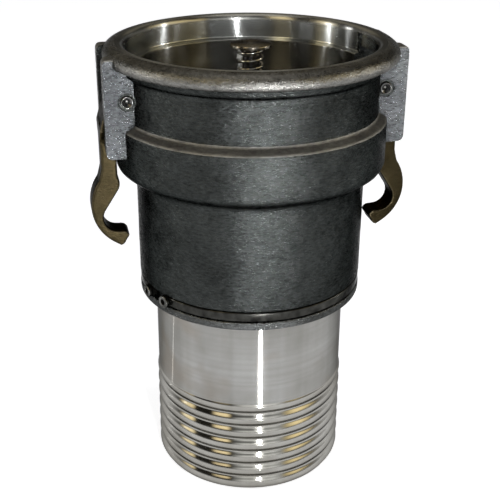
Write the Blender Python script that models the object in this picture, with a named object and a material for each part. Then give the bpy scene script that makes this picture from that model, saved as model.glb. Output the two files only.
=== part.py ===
"""Camlock coupling: a cam-and-groove coupler with a spring poppet and a swivelling hose shank.

The part stands on its hose shank with the mouth up. The origin is the centre of the shank's end,
+Z runs along the bore, and the two cam arms lie on the X axis. Lengths are in metres.
"""

import math

import bmesh
import bpy
from mathutils import Matrix, Vector

MM = 0.001

# Clearances
SEAT_GAP = 0.3 * MM
RUN_GAP = 0.4 * MM
CUT_MARGIN = 4.0 * MM
MERGE = 0.0001 * MM

# Facets of the turned pieces
BODY_SEGMENTS = 44
SHANK_SEGMENTS = 40
RING_SEGMENTS = 28
SMALL_SEGMENTS = 16
ARC_STEPS = 4

# Mouth of the body, a 4 inch cam-and-groove socket
MOUTH_BORE_RADIUS = 60.2 * MM
LEAD_IN_STEP = 3.0 * MM
LEAD_IN_DEPTH = 11.4 * MM
MOUTH_DEPTH = 50.0 * MM
RIM_LIP_WIDTH = 2.4 * MM
RIM_LIP_HEIGHT = 3.1 * MM
RIM_FACE_WIDTH = 2.0 * MM
BEAD_OVERHANG = 6.4 * MM
BEAD_CROWN = 5.2 * MM
BEAD_HEIGHT = 8.5 * MM
BEAD_ROOT = 3.5 * MM
BEAD_ROOT_ANGLE = -80.0
COLLAR_STEP = 3.1 * MM
COLLAR_HEIGHT = 3.7 * MM

# Outside of the body
NECK_WALL = 4.7 * MM
NECK_HEIGHT = 35.6 * MM
BAND_STEP = 4.6 * MM
BAND_SLOPE = 3.0 * MM
BAND_HEIGHT = 23.2 * MM
SLEEVE_WALL = 7.9 * MM
SLEEVE_HEIGHT = 55.5 * MM
BAND_UNDERCUT = 5.2 * MM
GROOVE_DEPTH = 3.2 * MM
GROOVE_HEIGHT = 5.9 * MM
LIP_HEIGHT = 4.25 * MM
EDGE = 0.7 * MM

# Lugs, cam slots and pivot pins
LUG_MARGIN = 11.1 * MM
LUG_GAP = 25.4 * MM
LUG_THICKNESS = 8.0 * MM
LUG_HEIGHT = 49.1 * MM
LUG_DROP = 2.5 * MM
LUG_CORNER = 3.4 * MM
PIN_RADIUS = 3.2 * MM
PIN_PROUD = 0.5 * MM
PIN_CHAMFER = 0.5 * MM
SPOT_FACE_STEP = 1.1 * MM
SPOT_FACE_DEPTH = 0.6 * MM
PIVOT_INSET = 4.7 * MM
PIVOT_DEPTH = 23.4 * MM
SLOT_ABOVE = 14.4 * MM
SLOT_BELOW = 13.4 * MM

# Cam arms
CAM_WALL = 1.4 * MM
CAM_NOSE_RADIUS = 4.2 * MM
CAM_NOSE_REACH = 10.4 * MM
CAM_NOSE_ANGLE = 200.0
CAM_CORNER_DROP = 16.0 * MM
CAM_BACK_ARC = (10.0, 140.0)
CAM_NOSE_ARC = (120.0, 290.0)
HANDLE_WIDTH = 12.4 * MM
HANDLE_THICKNESS = 7.8 * MM
HANDLE_SHOULDER = 9.0 * MM
HANDLE_TAPER = 6.0 * MM
HANDLE_EDGE = 1.3 * MM
HANDLE_DROP = 46.0 * MM
HOOK_RADIUS = 23.9 * MM
HOOK_BELOW_BAR = 12.2 * MM
HOOK_BULGE = 6.1 * MM
SCOOP_RADIUS = 7.6 * MM
SCOOP_BELOW_HOOK = 6.2 * MM
HOOK_NECK = 6.0 * MM
HANDLE_BEND_RADIUS = 7.0 * MM
HANDLE_BEND_STEP = 1.2 * MM
TIP_LENGTH = 8.4 * MM
TIP_REACH = 3.3 * MM
TIP_CORNER = 3.6 * MM
HANDLE_BEND_ARC = (150.0, 215.0)
SCOOP_ARC = (34.0, -80.0)
TIP_TOP_ARC = (80.0, 170.0)
TIP_LOW_ARC = (190.0, 260.0)
HOOK_TOP_ANGLE = 36.0
HOOK_BLEND_ANGLE = 6.0

# Inside of the body
GASKET_STEP = 1.7 * MM
GASKET_WIDTH = 11.1 * MM
GASKET_THICKNESS = 6.35 * MM
GASKET_LIP = 1.2 * MM
THROAT_STEP = 1.6 * MM
THROAT_DEPTH = 16.0 * MM
SHELF_THICKNESS = 10.0 * MM
SEAT_OVERLAP = 5.5 * MM
CHAMBER_STEP = 3.1 * MM

# Hose shank and its swivel
SHANK_STEP = 9.1 * MM
SHANK_WALL = 5.1 * MM
SHANK_EXPOSED = 103.9 * MM
SHANK_INSERTED = 24.0 * MM
RIDGE_COUNT = 6
RIDGE_PITCH = 8.1 * MM
RIDGE_START = 2.0 * MM
RIDGE_CREST = 4.3 * MM
RIDGE_RISE = 0.7 * MM
RIDGE_DEPTH = 0.9 * MM
RACE_DEPTH = 1.9 * MM
O_RING_SECTION = 2.6 * MM
O_RING_SPACING = 5.6 * MM
O_RING_DROP = 5.0 * MM
WEAR_RING_THICKNESS = 1.4 * MM

# Split retaining ring
RING_WIDTH = 2.7 * MM
RING_HEIGHT = 5.0 * MM
RING_GAP_ANGLE = 204.0
RING_GAP_HALF = 5.0
EYELET_ANGLE = 7.4
EYELET_RADIUS = 3.3 * MM
EYELET_HOLE_RADIUS = 1.5 * MM
EYELET_THICKNESS = 2.0 * MM
EYELET_NECK = 3.6 * MM
DOG_WIDTH = 14.0 * MM
DOG_HEIGHT = 3.0 * MM
DOG_COUNT = 3

# Spider, its screws and the stem's guide
SPIDER_RING_WIDTH = 8.4 * MM
SPIDER_THICKNESS = 6.0 * MM
SPIDER_ARM_COUNT = 3
SPIDER_ARM_WIDTH = 7.0 * MM
SPIDER_HUB_RADIUS = 10.0 * MM
SPIDER_HUB_HEIGHT = 12.0 * MM
SCREW_RADIUS = 2.0 * MM
SCREW_HEAD_RADIUS = 3.6 * MM
SCREW_HEAD_HEIGHT = 2.6 * MM
SCREW_HEAD_FLAT = 2.1 * MM
SCREW_BITE = 7.0 * MM
BUSH_WALL = 1.6 * MM
BUSH_FLANGE_WIDTH = 2.4 * MM
BUSH_FLANGE_THICKNESS = 1.5 * MM
SPRING_SEAT_THICKNESS = 1.2 * MM

# Poppet
STEM_RADIUS = 4.0 * MM
STEM_STEP = 0.8 * MM
STEM_COLLAR_STEP = 2.5 * MM
STEM_COLLAR_HEIGHT = 3.0 * MM
STEM_POINT = 2.0 * MM
BUTTON_RADIUS = 10.5 * MM
BUTTON_HEIGHT = 6.6 * MM
BUTTON_CROWN = 0.5 * MM
BUTTON_FLAT_STEP = 4.2 * MM
BUTTON_HEAD_HEIGHT = 2.4 * MM
BUTTON_BELOW_RIM = 1.6 * MM
BUTTON_SOCKET = 4.2 * MM
DISC_GAP = 6.5 * MM
DISC_THICKNESS = 5.0 * MM
DISC_BOSS_RADIUS = 11.0 * MM
DISC_BOSS_HEIGHT = 3.0 * MM
SEAL_THICKNESS = 3.0 * MM
SEAL_INSET = 7.0 * MM
RETAINER_OVERLAP = 5.0 * MM
RETAINER_THICKNESS = 2.4 * MM
WASHER_RADIUS = 7.2 * MM
WASHER_THICKNESS = 1.6 * MM
NUT_ACROSS_FLATS = 13.0 * MM
NUT_HEIGHT = 6.0 * MM

# Spring
SPRING_WIRE = 1.6 * MM
SPRING_PLAY = 1.0 * MM
SPRING_TURN_COUNT = 13
SPRING_TURN_SEGMENTS = 9
SPRING_LEAST_GAP = 0.4 * MM

# Heights along the bore
LIP_BOTTOM = SHANK_EXPOSED
GROOVE_BOTTOM = LIP_BOTTOM + LIP_HEIGHT
GROOVE_TOP = GROOVE_BOTTOM + GROOVE_HEIGHT
SLEEVE_TOP = GROOVE_TOP + SLEEVE_HEIGHT
BAND_BOTTOM = SLEEVE_TOP + BAND_UNDERCUT
BAND_TOP = BAND_BOTTOM + BAND_HEIGHT
RIM_TOP = BAND_TOP + BAND_SLOPE + NECK_HEIGHT
RECESS_TOP = RIM_TOP - MOUTH_DEPTH
RECESS_BOTTOM = RECESS_TOP - GASKET_THICKNESS - 2 * SEAT_GAP
SHELF_TOP = RECESS_BOTTOM - THROAT_DEPTH
SHELF_BOTTOM = SHELF_TOP - SHELF_THICKNESS
SHANK_TOP = SHANK_EXPOSED + SHANK_INSERTED
SOCKET_TOP = SHANK_TOP + WEAR_RING_THICKNESS + 2 * SEAT_GAP
PIVOT_HEIGHT = RIM_TOP - PIVOT_DEPTH

# Radii and places that follow from the sizes above
SHANK_RADIUS = MOUTH_BORE_RADIUS - SHANK_STEP
SHANK_BORE_RADIUS = SHANK_RADIUS - SHANK_WALL
SOCKET_RADIUS = SHANK_RADIUS + RUN_GAP
RACE_RADIUS = SHANK_RADIUS - RACE_DEPTH
COUNTERBORE_RADIUS = MOUTH_BORE_RADIUS + LEAD_IN_STEP
RIM_INNER_RADIUS = COUNTERBORE_RADIUS + RIM_LIP_WIDTH
RIM_FACE_RADIUS = RIM_INNER_RADIUS + RIM_FACE_WIDTH
BEAD_RADIUS = RIM_FACE_RADIUS + BEAD_OVERHANG
NECK_RADIUS = MOUTH_BORE_RADIUS + NECK_WALL
COLLAR_RADIUS = NECK_RADIUS + COLLAR_STEP
BAND_RADIUS = NECK_RADIUS + BAND_STEP
SLEEVE_RADIUS = SOCKET_RADIUS + SLEEVE_WALL
GROOVE_RADIUS = SLEEVE_RADIUS - GROOVE_DEPTH
GASKET_OUTER_RADIUS = MOUTH_BORE_RADIUS + GASKET_STEP
GASKET_INNER_RADIUS = GASKET_OUTER_RADIUS - GASKET_WIDTH
RECESS_RADIUS = GASKET_OUTER_RADIUS + RUN_GAP
THROAT_RADIUS = GASKET_INNER_RADIUS - THROAT_STEP
CHAMBER_RADIUS = SHANK_RADIUS - CHAMBER_STEP
DISC_RADIUS = CHAMBER_RADIUS - DISC_GAP
SEAT_RADIUS = DISC_RADIUS - SEAT_OVERLAP
SEAL_INNER_RADIUS = SEAT_RADIUS - SEAL_INSET
PIVOT_REACH = BAND_RADIUS - PIVOT_INSET
CAM_LOW_RADIUS = PIN_RADIUS + CAM_WALL
HOOK_DROP = HANDLE_DROP + HOOK_BELOW_BAR
SCOOP_DROP = HOOK_DROP + SCOOP_BELOW_HOOK
LUG_REACH = PIVOT_REACH + LUG_MARGIN
LUG_TOP = RIM_TOP - LUG_DROP
LUG_FACE = LUG_GAP / 2 + LUG_THICKNESS
RING_INNER_RADIUS = GROOVE_RADIUS + SEAT_GAP
RING_OUTER_RADIUS = RING_INNER_RADIUS + RING_WIDTH
RING_BOTTOM = GROOVE_BOTTOM + RUN_GAP
DOG_MIDDLE = RING_BOTTOM + RING_HEIGHT / 2
SPIDER_RADIUS = THROAT_RADIUS - RUN_GAP
SPIDER_BOTTOM = SHELF_TOP + SEAT_GAP
SCREW_CIRCLE = SPIDER_RADIUS - SPIDER_RING_WIDTH / 2
HUB_TOP = SPIDER_BOTTOM + SPIDER_HUB_HEIGHT
BUSH_INNER_RADIUS = STEM_RADIUS + SEAT_GAP
BUSH_OUTER_RADIUS = BUSH_INNER_RADIUS + BUSH_WALL
BUSH_FLANGE_BOTTOM = HUB_TOP + SEAT_GAP
BUSH_TOP = BUSH_FLANGE_BOTTOM + BUSH_FLANGE_THICKNESS
SPRING_SEAT_BOTTOM = BUSH_TOP + SEAT_GAP
SPRING_BOTTOM = SPRING_SEAT_BOTTOM + SPRING_SEAT_THICKNESS + SEAT_GAP
BUTTON_TOP = RIM_TOP - BUTTON_BELOW_RIM
BUTTON_BOTTOM = BUTTON_TOP - BUTTON_HEIGHT
HEAD_BOTTOM = BUTTON_TOP - BUTTON_HEAD_HEIGHT
SPRING_TOP = HEAD_BOTTOM - SEAT_GAP
SEAL_TOP = SHELF_BOTTOM - SEAT_GAP
SEAL_BOTTOM = SEAL_TOP - SEAL_THICKNESS
DISC_TOP = SEAL_BOTTOM - SEAT_GAP
DISC_BOTTOM = DISC_TOP - DISC_THICKNESS
BOSS_BOTTOM = DISC_BOTTOM - DISC_BOSS_HEIGHT
RETAINER_TOP = SEAL_TOP + SEAT_GAP + RETAINER_THICKNESS
COLLAR_BOTTOM = RETAINER_TOP + SEAT_GAP
WASHER_TOP = BOSS_BOTTOM - SEAT_GAP
NUT_TOP = WASHER_TOP - WASHER_THICKNESS - SEAT_GAP
STEM_BOTTOM = NUT_TOP - NUT_HEIGHT - STEM_POINT
STEM_END_RADIUS = STEM_RADIUS - STEM_STEP
STEM_COLLAR_RADIUS = STEM_RADIUS + STEM_COLLAR_STEP
STEM_HOLE_RADIUS = STEM_END_RADIUS + SEAT_GAP
BUTTON_FLAT_RADIUS = BUTTON_RADIUS - BUTTON_FLAT_STEP
SPRING_RADIUS = STEM_RADIUS + SPRING_PLAY + SPRING_WIRE / 2
BUTTON_BOSS_RADIUS = STEM_RADIUS + SPRING_PLAY - SEAT_GAP


def finish(name, colour, roughness, metallic):
    """A material of one plain colour."""
    material = bpy.data.materials.new(name)
    material.use_nodes = True
    shader = material.node_tree.nodes["Principled BSDF"]
    shader.inputs["Base Color"].default_value = (*colour, 1.0)
    shader.inputs["Roughness"].default_value = roughness
    shader.inputs["Metallic"].default_value = metallic
    return material


def arc(centre, radius, start, end, steps=ARC_STEPS, rise=None):
    """Points on an arc, with its angles in degrees, both ends included. A rise makes it an ellipse."""
    points = []
    for step in range(steps + 1):
        angle = math.radians(start + (end - start) * step / steps)
        across = radius * math.cos(angle)
        up = (rise or radius) * math.sin(angle)
        points.append((centre[0] + across, centre[1] + up))
    return points


def mesh_object(name, bm, material=None):
    """An object from a bmesh, shaded smooth up to its sharp edges."""
    bmesh.ops.remove_doubles(bm, verts=bm.verts, dist=MERGE)
    bmesh.ops.recalc_face_normals(bm, faces=bm.faces)
    mesh = bpy.data.meshes.new(name)
    bm.to_mesh(mesh)
    bm.free()
    mesh.shade_smooth()
    mesh.set_sharp_from_angle(angle=math.radians(35))
    thing = bpy.data.objects.new(name, mesh)
    bpy.context.scene.collection.objects.link(thing)
    if material:
        mesh.materials.append(material)
    return thing


def turned(name, profile, segments, material=None, closed=True):
    """A solid turned about Z from a profile of (radius, height) points.

    An open profile starts and ends on the axis.
    """
    bm = bmesh.new()
    corners = [bm.verts.new((radius, 0, height)) for radius, height in profile]
    edges = [bm.edges.new(pair) for pair in zip(corners, corners[1:])]
    if closed:
        edges.append(bm.edges.new((corners[-1], corners[0])))
    bmesh.ops.spin(
        bm,
        geom=corners + edges,
        cent=(0, 0, 0),
        axis=(0, 0, 1),
        angle=2 * math.pi,
        steps=segments,
        use_merge=True,
    )
    return mesh_object(name, bm, material)


def prism(name, outline, low, high, material=None):
    """An outline of (x, z) points, swept along Y from low to high."""
    bm = bmesh.new()
    face = bm.faces.new([bm.verts.new((x, low, z)) for x, z in outline])
    swept = bmesh.ops.extrude_face_region(bm, geom=[face])
    moved = [item for item in swept["geom"] if isinstance(item, bmesh.types.BMVert)]
    bmesh.ops.translate(bm, verts=moved, vec=(0, high - low, 0))
    return mesh_object(name, bm, material)


def block(name, x_range, y_range, z_range):
    """A box between the given limits."""
    (x0, x1), (z0, z1) = x_range, z_range
    return prism(name, [(x0, z0), (x1, z0), (x1, z1), (x0, z1)], *y_range)


def rod(name, radius, low, high, segments, material=None):
    """A plain cylinder along Z."""
    profile = [(0, high), (radius, high), (radius, low), (0, low)]
    return turned(name, profile, segments, material, closed=False)


def tube_ring(name, inner, outer, low, high, segments, material=None):
    """A ring of rectangular section."""
    return turned(name, [(inner, high), (outer, high), (outer, low), (inner, low)], segments, material)


def combine(target, tool, operation):
    """Joins a tool to a piece, or cuts it out of the piece, and keeps the tool as a wire guide."""
    modifier = target.modifiers.new(tool.name, "BOOLEAN")
    modifier.operation = operation
    modifier.object = tool
    tool.hide_render = True
    tool.display_type = "WIRE"


def place(thing, angle=0.0, location=(0, 0, 0), tilt=None):
    """Turns a piece about Z by degrees, after an optional first tilt, and moves it."""
    matrix = Matrix.Translation(location) @ Matrix.Rotation(math.radians(angle), 4, "Z")
    thing.matrix_world = matrix @ tilt if tilt else matrix
    return thing


def lug_outline():
    """One lug's side view, with its outer corners rounded."""
    inner = MOUTH_BORE_RADIUS
    low, high = LUG_TOP - LUG_HEIGHT, LUG_TOP
    bend = LUG_REACH - LUG_CORNER
    outline = [(inner, low)]
    outline += arc((bend, low + LUG_CORNER), LUG_CORNER, -90, 0)
    outline += arc((bend, high - LUG_CORNER), LUG_CORNER, 0, 90)
    outline.append((inner, high))
    return outline


def body_outside():
    """The body's outer profile, from the axis at the top to the axis at the bottom."""
    collar_top = RIM_TOP - BEAD_HEIGHT
    collar_bottom = collar_top - COLLAR_HEIGHT
    bead_middle = RIM_TOP - BEAD_CROWN
    crown_centre = (RIM_FACE_RADIUS, bead_middle)
    root_centre = (BEAD_RADIUS - BEAD_ROOT, bead_middle)
    profile = [(0, RIM_TOP)]
    profile += arc(crown_centre, BEAD_OVERHANG, 90, 0, rise=BEAD_CROWN)
    profile += arc(root_centre, BEAD_ROOT, 0, BEAD_ROOT_ANGLE, rise=BEAD_HEIGHT - BEAD_CROWN)[1:]
    profile += [
        (COLLAR_RADIUS + EDGE, collar_top),
        (COLLAR_RADIUS - EDGE, collar_bottom),
        (NECK_RADIUS + EDGE, collar_bottom - EDGE),
        (NECK_RADIUS, collar_bottom - 3 * EDGE),
        (NECK_RADIUS, BAND_TOP + BAND_SLOPE + EDGE),
        (NECK_RADIUS + EDGE, BAND_TOP + BAND_SLOPE),
        (BAND_RADIUS - EDGE, BAND_TOP + EDGE),
        (BAND_RADIUS, BAND_TOP - EDGE),
        (BAND_RADIUS, BAND_BOTTOM + EDGE),
        (BAND_RADIUS - EDGE, BAND_BOTTOM - EDGE),
        (SLEEVE_RADIUS + EDGE, SLEEVE_TOP + EDGE),
        (SLEEVE_RADIUS, SLEEVE_TOP - EDGE),
        (SLEEVE_RADIUS, GROOVE_TOP + EDGE),
        (SLEEVE_RADIUS - EDGE, GROOVE_TOP),
        (GROOVE_RADIUS, GROOVE_TOP),
        (GROOVE_RADIUS, GROOVE_BOTTOM),
        (SLEEVE_RADIUS - EDGE, GROOVE_BOTTOM),
        (SLEEVE_RADIUS, GROOVE_BOTTOM - EDGE),
        (SLEEVE_RADIUS, LIP_BOTTOM + EDGE),
        (SLEEVE_RADIUS - EDGE, LIP_BOTTOM),
        (0, LIP_BOTTOM),
    ]
    return profile


def body_inside():
    """The body's bore, from the axis above the mouth to the axis below the socket.

    The rounded inner lip of the rim runs on a little above the rim, so that it cuts through cleanly.
    """
    lip_centre = (RIM_INNER_RADIUS, RIM_TOP - RIM_LIP_HEIGHT)
    profile = [(0, RIM_TOP + CUT_MARGIN), (RIM_INNER_RADIUS, RIM_TOP + CUT_MARGIN)]
    profile += arc(lip_centre, RIM_LIP_WIDTH, 90, 180, rise=RIM_LIP_HEIGHT + SEAT_GAP)
    profile += [
        (COUNTERBORE_RADIUS, RIM_TOP - LEAD_IN_DEPTH),
        (MOUTH_BORE_RADIUS, RIM_TOP - LEAD_IN_DEPTH - LEAD_IN_STEP),
        (MOUTH_BORE_RADIUS, RECESS_TOP),
        (RECESS_RADIUS, RECESS_TOP),
        (RECESS_RADIUS, RECESS_BOTTOM),
        (THROAT_RADIUS, RECESS_BOTTOM),
        (THROAT_RADIUS, SHELF_TOP),
        (SEAT_RADIUS, SHELF_TOP),
        (SEAT_RADIUS, SHELF_BOTTOM),
        (CHAMBER_RADIUS, SHELF_BOTTOM),
        (CHAMBER_RADIUS, SOCKET_TOP),
        (SOCKET_RADIUS, SOCKET_TOP),
        (SOCKET_RADIUS, LIP_BOTTOM - CUT_MARGIN),
        (0, LIP_BOTTOM - CUT_MARGIN),
    ]
    return profile


def spread(count, first=0.0):
    """Angles of so many places set evenly round the axis, in degrees."""
    return [first + 360.0 * index / count for index in range(count)]


def make_body(material):
    """The cast body: turned outside, four lugs, then the bore, slots and holes."""
    body = turned("coupler_body", body_outside(), BODY_SEGMENTS, material, closed=False)
    for side in (-1, 1):
        near, far = sorted((side * LUG_GAP / 2, side * LUG_FACE))
        for facing in (0, 180):
            lug = prism(f"lug_{facing}_{'far' if side > 0 else 'near'}", lug_outline(), near, far)
            combine(body, place(lug, facing), "UNION")
    combine(body, turned("body_bore", body_inside(), BODY_SEGMENTS, closed=False), "DIFFERENCE")
    for facing in (0, 180):
        slot = block(
            f"cam_slot_{facing}",
            (MOUTH_BORE_RADIUS - CUT_MARGIN, LUG_REACH + CUT_MARGIN),
            (-LUG_GAP / 2, LUG_GAP / 2),
            (PIVOT_HEIGHT - SLOT_BELOW, PIVOT_HEIGHT + SLOT_ABOVE),
        )
        combine(body, place(slot, facing), "DIFFERENCE")
        hole = turned(f"pin_hole_{facing}", pin_hole_profile(), SMALL_SEGMENTS, closed=False)
        flats_level = Matrix.Rotation(math.pi / SMALL_SEGMENTS, 4, "Z")
        lay_along_y = Matrix.Rotation(math.pi / 2, 4, "X") @ flats_level
        pivot = on_circle(PIVOT_REACH, facing, PIVOT_HEIGHT)
        combine(body, place(hole, facing, pivot, lay_along_y), "DIFFERENCE")
    for index, angle in enumerate(dog_angles()):
        window = block(
            f"dog_window_{index}",
            (SOCKET_RADIUS - CUT_MARGIN, GROOVE_RADIUS + CUT_MARGIN / 2),
            (-DOG_WIDTH / 2 - RUN_GAP, DOG_WIDTH / 2 + RUN_GAP),
            (DOG_MIDDLE - DOG_HEIGHT / 2 - RUN_GAP, DOG_MIDDLE + DOG_HEIGHT / 2 + RUN_GAP),
        )
        combine(body, place(window, angle), "DIFFERENCE")
    for index, angle in enumerate(spread(SPIDER_ARM_COUNT)):
        low = SHELF_TOP - SCREW_BITE - RUN_GAP
        high = SHELF_TOP + CUT_MARGIN
        hole = rod(f"screw_hole_{index}", SCREW_RADIUS + SEAT_GAP, low, high, SMALL_SEGMENTS)
        combine(body, place(hole, location=on_circle(SCREW_CIRCLE, angle)), "DIFFERENCE")
    return body


def pin_hole_profile():
    """The pin's hole through both lugs, with a spot face round it on each outer side."""
    hole_radius = PIN_RADIUS + SEAT_GAP
    spot_radius = hole_radius + SPOT_FACE_STEP
    end = [
        (0, LUG_FACE + CUT_MARGIN),
        (spot_radius, LUG_FACE + CUT_MARGIN),
        (spot_radius, LUG_FACE - SPOT_FACE_DEPTH),
        (hole_radius, LUG_FACE - SPOT_FACE_DEPTH),
    ]
    return end + [(radius, -height) for radius, height in reversed(end)]


def on_circle(radius, angle, height=0.0):
    """A point round the bore's axis."""
    turn = math.radians(angle)
    return Vector((radius * math.cos(turn), radius * math.sin(turn), height))


def dog_angles():
    """Where the retaining ring's dogs are, evenly set and clear of its gap."""
    return spread(DOG_COUNT, RING_GAP_ANGLE + 180.0)


def cam_outline():
    """Hub, nose and root of the handle, round the pivot at (0, 0)."""
    inner = handle_inner()
    outer = inner + HANDLE_THICKNESS
    nose = CAM_NOSE_REACH - CAM_NOSE_RADIUS
    turn = math.radians(CAM_NOSE_ANGLE)
    nose_centre = (nose * math.cos(turn), nose * math.sin(turn))
    root = -SLOT_BELOW - HANDLE_SHOULDER
    outline = arc((0, 0), CAM_LOW_RADIUS, *CAM_BACK_ARC, 2 * ARC_STEPS)
    outline += arc(nose_centre, CAM_NOSE_RADIUS, *CAM_NOSE_ARC, 2 * ARC_STEPS)
    outline += [
        (inner, -SLOT_BELOW + SEAT_GAP),
        (inner, root),
        (outer, root),
        (outer, -CAM_CORNER_DROP),
        (outer - CAM_NOSE_RADIUS, -CAM_LOW_RADIUS / 2),
    ]
    return outline


def handle_inner():
    """Distance from the pivot to the handle's inner face, which hangs just clear of the band."""
    return BAND_RADIUS + 2 * SEAT_GAP - PIVOT_REACH


def handle_outline():
    """The handle's S curve and hooked end, below the pivot at (0, 0)."""
    inner = handle_inner()
    outer = inner + HANDLE_THICKNESS
    hook_centre = (outer + HOOK_BULGE - HOOK_RADIUS, -HOOK_DROP)
    scoop_centre = (outer + HOOK_BULGE - HOOK_NECK - SCOOP_RADIUS, -SCOOP_DROP)
    tip_top = scoop_centre[1] - SCOOP_RADIUS
    tip_low = tip_top - TIP_LENGTH
    tip_end = inner - TIP_REACH
    hook_end = -math.degrees(math.acos((tip_end + TIP_CORNER - hook_centre[0]) / HOOK_RADIUS))
    bend_centre = (inner + HANDLE_BEND_RADIUS - HANDLE_BEND_STEP, -HANDLE_DROP)
    outline = [(outer, -SLOT_BELOW), (inner, -SLOT_BELOW)]
    outline += arc(bend_centre, HANDLE_BEND_RADIUS, *HANDLE_BEND_ARC)
    outline += arc(scoop_centre, SCOOP_RADIUS, *SCOOP_ARC, 2 * ARC_STEPS)
    outline += arc((tip_end + TIP_CORNER / 2, tip_top - TIP_CORNER), TIP_CORNER, *TIP_TOP_ARC)
    outline += arc((tip_end + TIP_CORNER, tip_low + TIP_CORNER), TIP_CORNER, *TIP_LOW_ARC)
    outline += arc(hook_centre, HOOK_RADIUS, hook_end + HOOK_BLEND_ANGLE, HOOK_TOP_ANGLE, 3 * ARC_STEPS)
    outline.append((outer, -HANDLE_DROP + HANDLE_THICKNESS))
    return outline


def make_arm(name, facing, material):
    """A cam arm with its origin on the pivot: a wide cam between the lugs and a narrower handle."""
    half = LUG_GAP / 2 - RUN_GAP
    arm = prism(name, cam_outline(), -half, half, material)
    handle = prism(f"{name}_handle", handle_outline(), -HANDLE_WIDTH / 2, HANDLE_WIDTH / 2)
    rounding = handle.modifiers.new("rounded_edges", "BEVEL")
    rounding.width = HANDLE_EDGE
    rounding.segments = 2
    rounding.limit_method = "ANGLE"
    rounding.angle_limit = math.radians(60)
    hole = rod(f"{name}_hole", PIN_RADIUS + SEAT_GAP, -half - CUT_MARGIN, half + CUT_MARGIN, SMALL_SEGMENTS)
    hole.matrix_world = Matrix.Rotation(math.pi / 2, 4, "X")
    tools = [handle, hole]
    combine(arm, handle, "UNION")
    combine(arm, hole, "DIFFERENCE")
    reach = handle_inner() + HANDLE_THICKNESS + CUT_MARGIN
    for side in (-1, 1):
        step = -SLOT_BELOW - HANDLE_SHOULDER
        shoulder = prism(
            f"{name}_shoulder_{'far' if side > 0 else 'near'}",
            [
                (side * (half + CUT_MARGIN), step + HANDLE_TAPER),
                (side * half, step + HANDLE_TAPER),
                (side * HANDLE_WIDTH / 2, step - SEAT_GAP),
                (side * (half + CUT_MARGIN), step - SEAT_GAP),
            ],
            -reach,
            reach,
        )
        shoulder.matrix_world = Matrix.Rotation(math.pi / 2, 4, "Z")
        combine(arm, shoulder, "DIFFERENCE")
        tools.append(shoulder)
    for tool in tools:
        tool.parent = arm
    return place(arm, facing, on_circle(PIVOT_REACH, facing, PIVOT_HEIGHT))


def make_pin(name, facing, material):
    """A pivot pin across both lugs, with chamfered ends."""
    half = LUG_FACE + PIN_PROUD
    profile = [
        (0, half),
        (PIN_RADIUS - PIN_CHAMFER, half),
        (PIN_RADIUS, half - PIN_CHAMFER),
        (PIN_RADIUS, PIN_CHAMFER - half),
        (PIN_RADIUS - PIN_CHAMFER, -half),
        (0, -half),
    ]
    pin = turned(name, profile, SMALL_SEGMENTS, material, closed=False)
    lay_along_y = Matrix.Rotation(math.pi / 2, 4, "X")
    return place(pin, facing, on_circle(PIVOT_REACH, facing, PIVOT_HEIGHT), lay_along_y)


def shank_profile():
    """The hose shank's section: plain upper length, race, seal grooves and rounded ridges."""
    crest = SHANK_RADIUS + RIDGE_RISE
    root = SHANK_RADIUS - RIDGE_DEPTH
    profile = [
        (SHANK_BORE_RADIUS, SHANK_TOP),
        (SHANK_RADIUS - EDGE, SHANK_TOP),
        (SHANK_RADIUS, SHANK_TOP - EDGE),
    ]
    for centre in o_ring_heights():
        half = O_RING_SECTION / 2 + SEAT_GAP
        floor = SOCKET_RADIUS - O_RING_SECTION - 2 * SEAT_GAP
        profile += [
            (SHANK_RADIUS, centre + half),
            (floor, centre + half),
            (floor, centre - half),
            (SHANK_RADIUS, centre - half),
        ]
    race_half = DOG_HEIGHT / 2 + RUN_GAP
    profile += [
        (SHANK_RADIUS, DOG_MIDDLE + race_half),
        (RACE_RADIUS, DOG_MIDDLE + race_half),
        (RACE_RADIUS, DOG_MIDDLE - race_half),
        (SHANK_RADIUS, DOG_MIDDLE - race_half),
    ]
    ridges_top = RIDGE_START + RIDGE_COUNT * RIDGE_PITCH
    profile.append((SHANK_RADIUS, ridges_top + RIDGE_CREST + RIDGE_RISE))
    profile.append((crest, ridges_top + RIDGE_CREST))
    valley = RIDGE_PITCH - RIDGE_CREST
    for index in range(RIDGE_COUNT):
        top = ridges_top - index * RIDGE_PITCH
        profile += [
            (crest, top + EDGE),
            (root, top - valley / 3),
            (root, top - valley * 2 / 3),
            (crest, top - valley - EDGE / 2),
        ]
    profile += [(crest, RIDGE_START + EDGE), (crest - RIDGE_START, 0), (SHANK_BORE_RADIUS, 0)]
    return profile


def o_ring_heights():
    """Middle heights of the two seals, upper first."""
    upper = SHANK_TOP - O_RING_DROP
    return upper, upper - O_RING_SPACING


def make_o_ring(name, height, material):
    """A round seal in its groove on the shank."""
    radius = O_RING_SECTION / 2
    centre = SOCKET_RADIUS - SEAT_GAP - radius
    section = arc((centre, height), radius, 360, 45, 7)
    return turned(name, section, RING_SEGMENTS, material)


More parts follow.
